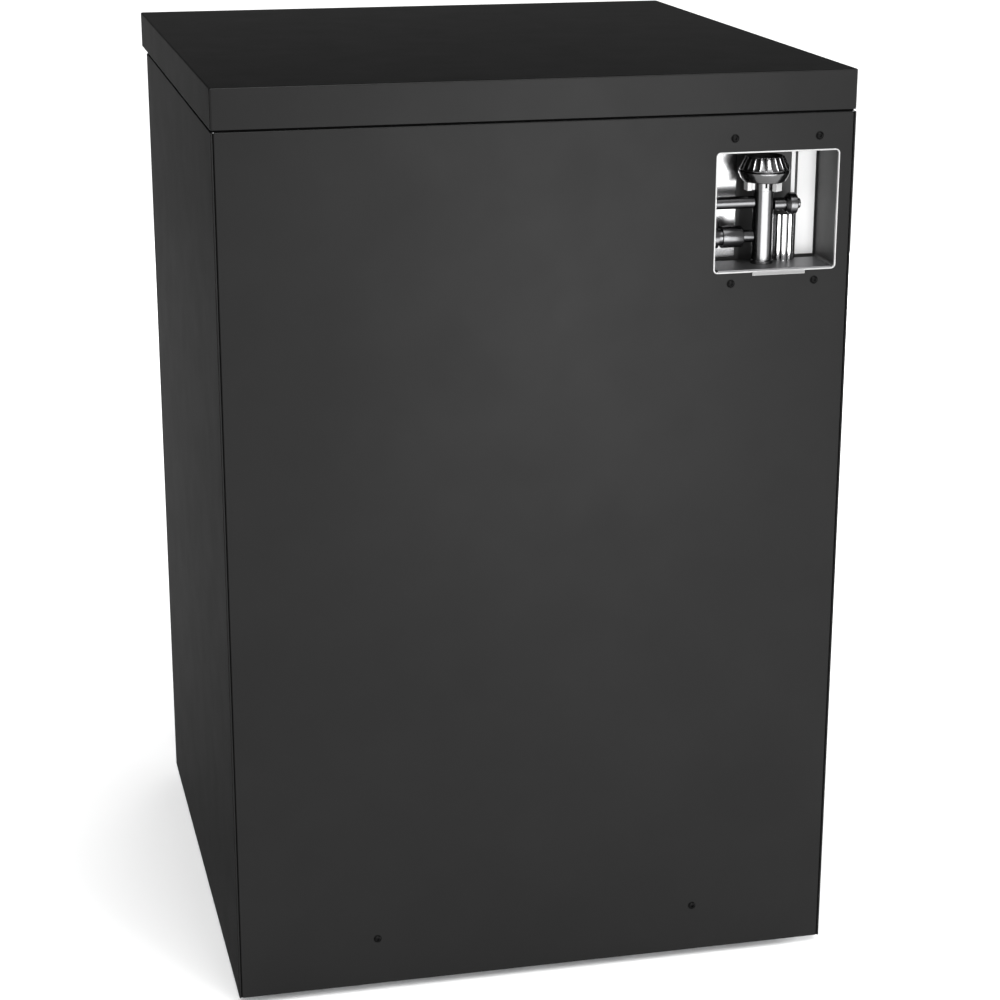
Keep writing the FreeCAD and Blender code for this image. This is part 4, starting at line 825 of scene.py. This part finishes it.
def fan(name, radius, hub, at, axis):
    """Moulded fan: round-edged hub and five pitched, curved blades."""
    bm = bmesh.new()
    cup = softened([(2.1, 0.2), (hub - 1.5, 0), (hub, 1.5), (hub, 10.5), (hub - 2, 12), (2.1, 12)], 0.8)
    lathe(bm, cup + [cup[0]], at, axis, 48)
    place = standing(at, axis)
    for blade in range(5):
        first = 2 * math.pi * blade / 5
        sides = []
        for face in (0.55, -0.55):
            rows = []
            for i in range(9):
                out = hub - 1 + (radius - hub + 1) * i / 8
                row = []
                for k in range(7):
                    share = k / 6 - 0.5
                    spread = (0.62 + 0.20 * math.sin(math.pi * i / 8)) * share + 0.10 * i / 8
                    height = 6 + share * 8.6 * (1 - 0.35 * i / 8) + face * (1.0 - (2 * share) ** 2 * 0.7)
                    row.append(bm.verts.new(place @ Vector((out * math.cos(first + spread),
                                                            out * math.sin(first + spread), height))))
                rows.append(row)
            sides.append(rows)
        for rows in sides:
            for low, high in zip(rows, rows[1:]):
                for k in range(6):
                    bm.faces.new((low[k], low[k + 1], high[k + 1], high[k]))
        front, rear = sides
        rims = [[row[0] for row in rows] + rows[-1][1:] + [row[-1] for row in rows][-2::-1] + rows[0][-2:0:-1]
                for rows in (front, rear)]
        bridge(bm, *rims)
    piece(f"{name}_moulded", bm, ["black_plastic"], name, [name], 45)


def coupler_pieces():
    """Ribbed grip and lever of the keg coupler."""
    x, y, z = 215, 275, 513
    bm = bmesh.new()
    lathe(bm, [(0, 0), (3, 0), (3, 17.6), (0, 17.6)], (x - 8.8, y, z), "x", 32)
    slab(bm, (x - 3.9, x + 3.9), (y - 4, y + 4), (z - 3, z + 55), 1.2)
    grip = [(0, 0), (5.4, 0.3), (6.4, 1.6)]
    for rib in range(9):
        grip += [(6.5, 3 + rib * 5), (5.9, 4 + rib * 5), (5.9, 6 + rib * 5), (6.5, 7 + rib * 5)]
    grip += [(6.3, 48.4), (5.2, 49.7), (0, 50)]
    lathe(bm, grip, (x, y, z + 53), "z", 40)
    piece("pull_grip", bm, ["black_plastic"], "coupler_handle", ["coupler_handle"])


BEER_ROUTE = [(215, 292, 562), (215, 292, 620), (212, 280, 690), (196, 240, 752), (160, 170, 790),
              (110, 80, 806), (60, -10, 804), (14, -64, 805), (0, -104, 806), (0, -141.8, 806)]
GAS_ROUTE = [(-133, 336, 782.1), (-133, 294, 782.1), (-108, 258, 778), (-60, 240, 768), (0, 236, 750),
             (50, 241, 708), (74, 256, 650), (76, 274, 596), (80, 288, 540), (114, 292, 484),
             (180.8, 292, 484)]


def hose_curve(name, route):
    """A hose of 10 mm outside diameter along a route, as a curve."""
    curve = bpy.data.curves.new(name, "CURVE")
    curve.dimensions = "3D"
    curve.bevel_depth = 5 * MM
    curve.bevel_resolution = 6
    curve.use_fill_caps = True
    spline = curve.splines.new("NURBS")
    spline.points.add(len(route) - 1)
    for spot, place in zip(spline.points, route):
        spot.co = (*(Vector(place) * MM), 1)
    spline.order_u = 3
    spline.use_endpoint_u = True
    spline.resolution_u = 14
    curve.materials.append(MATERIALS["hose"])
    hose = bpy.data.objects.new(name, curve)
    bpy.context.scene.collection.objects.link(hose)
    return hose


def hoses():
    """The gas hose stays still, a curve on the root body; the beer hose is turned into a mesh of its own, on
    no body.
    """
    gas = hose_curve("gas_hose_line", GAS_ROUTE)
    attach(gas, "root")
    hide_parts("gas_hose")

    beer = hose_curve("beer_hose_line", BEER_ROUTE)
    bpy.context.view_layer.update()
    mesh = bpy.data.meshes.new_from_object(beer)
    bpy.data.objects.remove(beer)
    mesh.polygons.foreach_set("use_smooth", [True] * len(mesh.polygons))
    line = bpy.data.objects.new("beer_hose_line", mesh)
    bpy.context.scene.collection.objects.link(line)
    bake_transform(line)
    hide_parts("beer_hose")


def hose_clamps():
    """Stepless clamps at the hoses' ends, each a thin band with its crimped ear."""
    band = [(5.1, -3.5), (5.75, -3.3), (5.9, -2.8), (5.9, 2.8), (5.75, 3.3), (5.1, 3.5)]
    for name, body, at, axis in (("clamp_beer_coupler", "coupler_probe", (215, 292, 569), "z"),
                                 ("clamp_beer_shank", "root", (0, -149, 806), "y"),
                                 ("clamp_gas_elbow", "root", (-133, 329, 782.1), "y"),
                                 ("clamp_gas_coupler", "root", (174, 292, 484), "x")):
        bm = bmesh.new()
        lathe(bm, band, at, axis, 40)
        centre, half = list(at), [1.6, 1.6, 1.6]
        half["xyz".index(axis)] = 3.2
        outward, reach = (1, -6.6) if axis == "z" else (2, 6.6)
        centre[outward] += reach
        half[outward] = 1.0
        slab(bm, *[(middle - depth, middle + depth) for middle, depth in zip(centre, half)], 0.5)
        piece(name, bm, ["zinc_plain"], body)


# ---------------------------------------------------------------- soft edges on the carried nodes

SOFT_EDGES = {
    1.2: ("control_bezel",),
    0.4: ("manifold_bracket", "relief_union", "coupler_body", "hinge_brackets", "coupler_park_bracket"),
}


def soften_carried_nodes():
    """Small rounds where sheet edges are folded or machined edges are broken."""
    for width, nodes in SOFT_EDGES.items():
        for node in nodes:
            thing = NODES[node]
            weld = thing.modifiers.new("weld", "WELD")
            weld.merge_threshold = 1e-6
            bevel = thing.modifiers.new("edges", "BEVEL")
            bevel.width = width * MM
            bevel.segments = 3
            bevel.limit_method = "ANGLE"
            bevel.angle_limit = math.radians(50)
            bevel.harden_normals = True
            bevel.use_clamp_overlap = True


def make_pieces():
    for make in (cabinet_skin, seam_shade_strips, front_skin, window_pieces, lock_ring, panel_screws, adjusting_ring,
                 regulator_pieces, door_handle, control_pieces, faucet_pieces, drip_tray_pieces, door_lining,
                 feet, coupler_pieces, hoses, hose_clamps):
        make()
    fan("condenser_fan", 46, 14, (-184, 318, 105), "-x")
    fan("evaporator_fan", 44, 13, (0, 333, 610), "-y")


# ---------------------------------------------------------------- floor, lights, camera

def floor():
    """Plain pale paper, far wider than the picture."""
    mesh = bpy.data.meshes.new("floor")
    reach = 40.0
    mesh.from_pydata([(-reach, -reach, 0), (reach, -reach, 0), (reach, reach, 0), (-reach, reach, 0)],
                     [], [(0, 1, 2, 3)])
    ground = bpy.data.objects.new("floor", mesh)
    bpy.context.scene.collection.objects.link(ground)
    material = new_material("floor_paper", (0.93, 0.93, 0.93), 0.9, Specular_IOR_Level=0.1)
    vary_color(material, noise(material, 3, 2), [(0.3, 0.925), (0.7, 0.935)])
    mesh.materials.append(material)


def area_light(name, at, target, size, power):
    data = bpy.data.lights.new(name, "AREA")
    data.shape = "RECTANGLE"
    data.size, data.size_y = size
    data.energy = power
    lamp = bpy.data.objects.new(name, data)
    bpy.context.scene.collection.objects.link(lamp)
    lamp.location = at
    lamp.rotation_euler = (Vector(target) - Vector(at)).to_track_quat("-Z", "Y").to_euler()
    return lamp


FITTINGS = ("pressure_ring", "bonnet_bowl", "lock_ring", "inlet_coupling", "filter_bowl_fluted",
            "regulator_body", "gas_outlet_tube", "relief_union")


def receivers(name, members):
    """A collection of pieces, so that one lamp can light only them."""
    collection = bpy.data.collections.new(name)
    for member in members:
        collection.objects.link(NODES[member] if member in NODES else bpy.data.objects[member])
    return collection


def lights():
    """White surroundings, a broad sun, and soft boxes; those with receivers light only the recess."""
    world = bpy.data.worlds.new("studio")
    world.use_nodes = True
    background = world.node_tree.nodes["Background"]
    background.inputs["Color"].default_value = (1, 1, 1, 1)
    path = world.node_tree.nodes.new("ShaderNodeLightPath")
    strength = world.node_tree.nodes.new("ShaderNodeMapRange")
    strength.inputs["To Min"].default_value = 0.75
    strength.inputs["To Max"].default_value = 1.05
    world.node_tree.links.new(path.outputs["Is Camera Ray"], strength.inputs["Value"])
    world.node_tree.links.new(strength.outputs["Result"], background.inputs["Strength"])
    bpy.context.scene.world = world
    sun = bpy.data.lights.new("overhead", "SUN")
    sun.energy = 2.25
    sun.angle = math.radians(50)
    lamp = bpy.data.objects.new("overhead", sun)
    bpy.context.scene.collection.objects.link(lamp)
    lamp.rotation_euler = Vector((-0.12, -0.55, -1)).to_track_quat("-Z", "Y").to_euler()
    area_light("strip", (-0.42, 1.9, 0.62), (-0.22, 0.39, 0.72), (0.16, 1.1), 6)
    area_light("front_panel", (-1.3, -3.2, 0.46), (0, -0.26, 0.46), (1.8, 0.85), 58)
    area_light("side_panel", (-2.6, 0.3, 0.46), (-0.3, 0, 0.46), (0.9, 0.85), 70)
    softbox = area_light("recess_softbox", (-0.26, 1.0, 0.56), (-0.226, 0.37, 0.76), (0.9, 0.5), 11)
    softbox.light_linking.receiver_collection = receivers("fittings", FITTINGS)
    key = area_light("ring_key", (-0.25, 0.95, 1.2), (-0.226, 0.38, 0.82), (0.3, 0.2), 5)
    key.light_linking.receiver_collection = receivers("ring", ("pressure_ring",))
    glow = area_light("plate_glow", (-0.30, 1.3, 0.62), (-0.19, 0.334, 0.78), (0.3, 0.3), 1.4)
    glow.light_linking.receiver_collection = receivers("plate", ("recess_plate",))
    wash = area_light("plate_wash", (-0.14, 1.32, 0.70), (-0.279, 0.334, 0.78), (0.15, 0.3), 5.5)
    wash.light_linking.receiver_collection = receivers("white_plates", ("white_recess_plates",))


def camera():
    """Camera fitted to the photograph."""
    data = bpy.data.cameras.new("camera")
    data.sensor_width = 36
    data.lens = 87.16
    data.shift_x = 0.0167
    data.shift_y = 0.0178
    data.clip_end = 100
    view = bpy.data.objects.new("camera", data)
    bpy.context.scene.collection.objects.link(view)
    view.location = (0.5489, 2.5448, 1.1989)
    yaw = math.radians(12.896)
    pitch = math.radians(17.714)
    heading = Vector((-math.sin(yaw) * math.cos(pitch), -math.cos(yaw) * math.cos(pitch), -math.sin(pitch)))
    view.rotation_euler = heading.to_track_quat("-Z", "Y").to_euler()
    bpy.context.scene.camera = view
    bpy.context.scene.view_settings.view_transform = "Standard"


paint_carried_nodes()
make_pieces()
soften_carried_nodes()
floor()
lights()
camera()
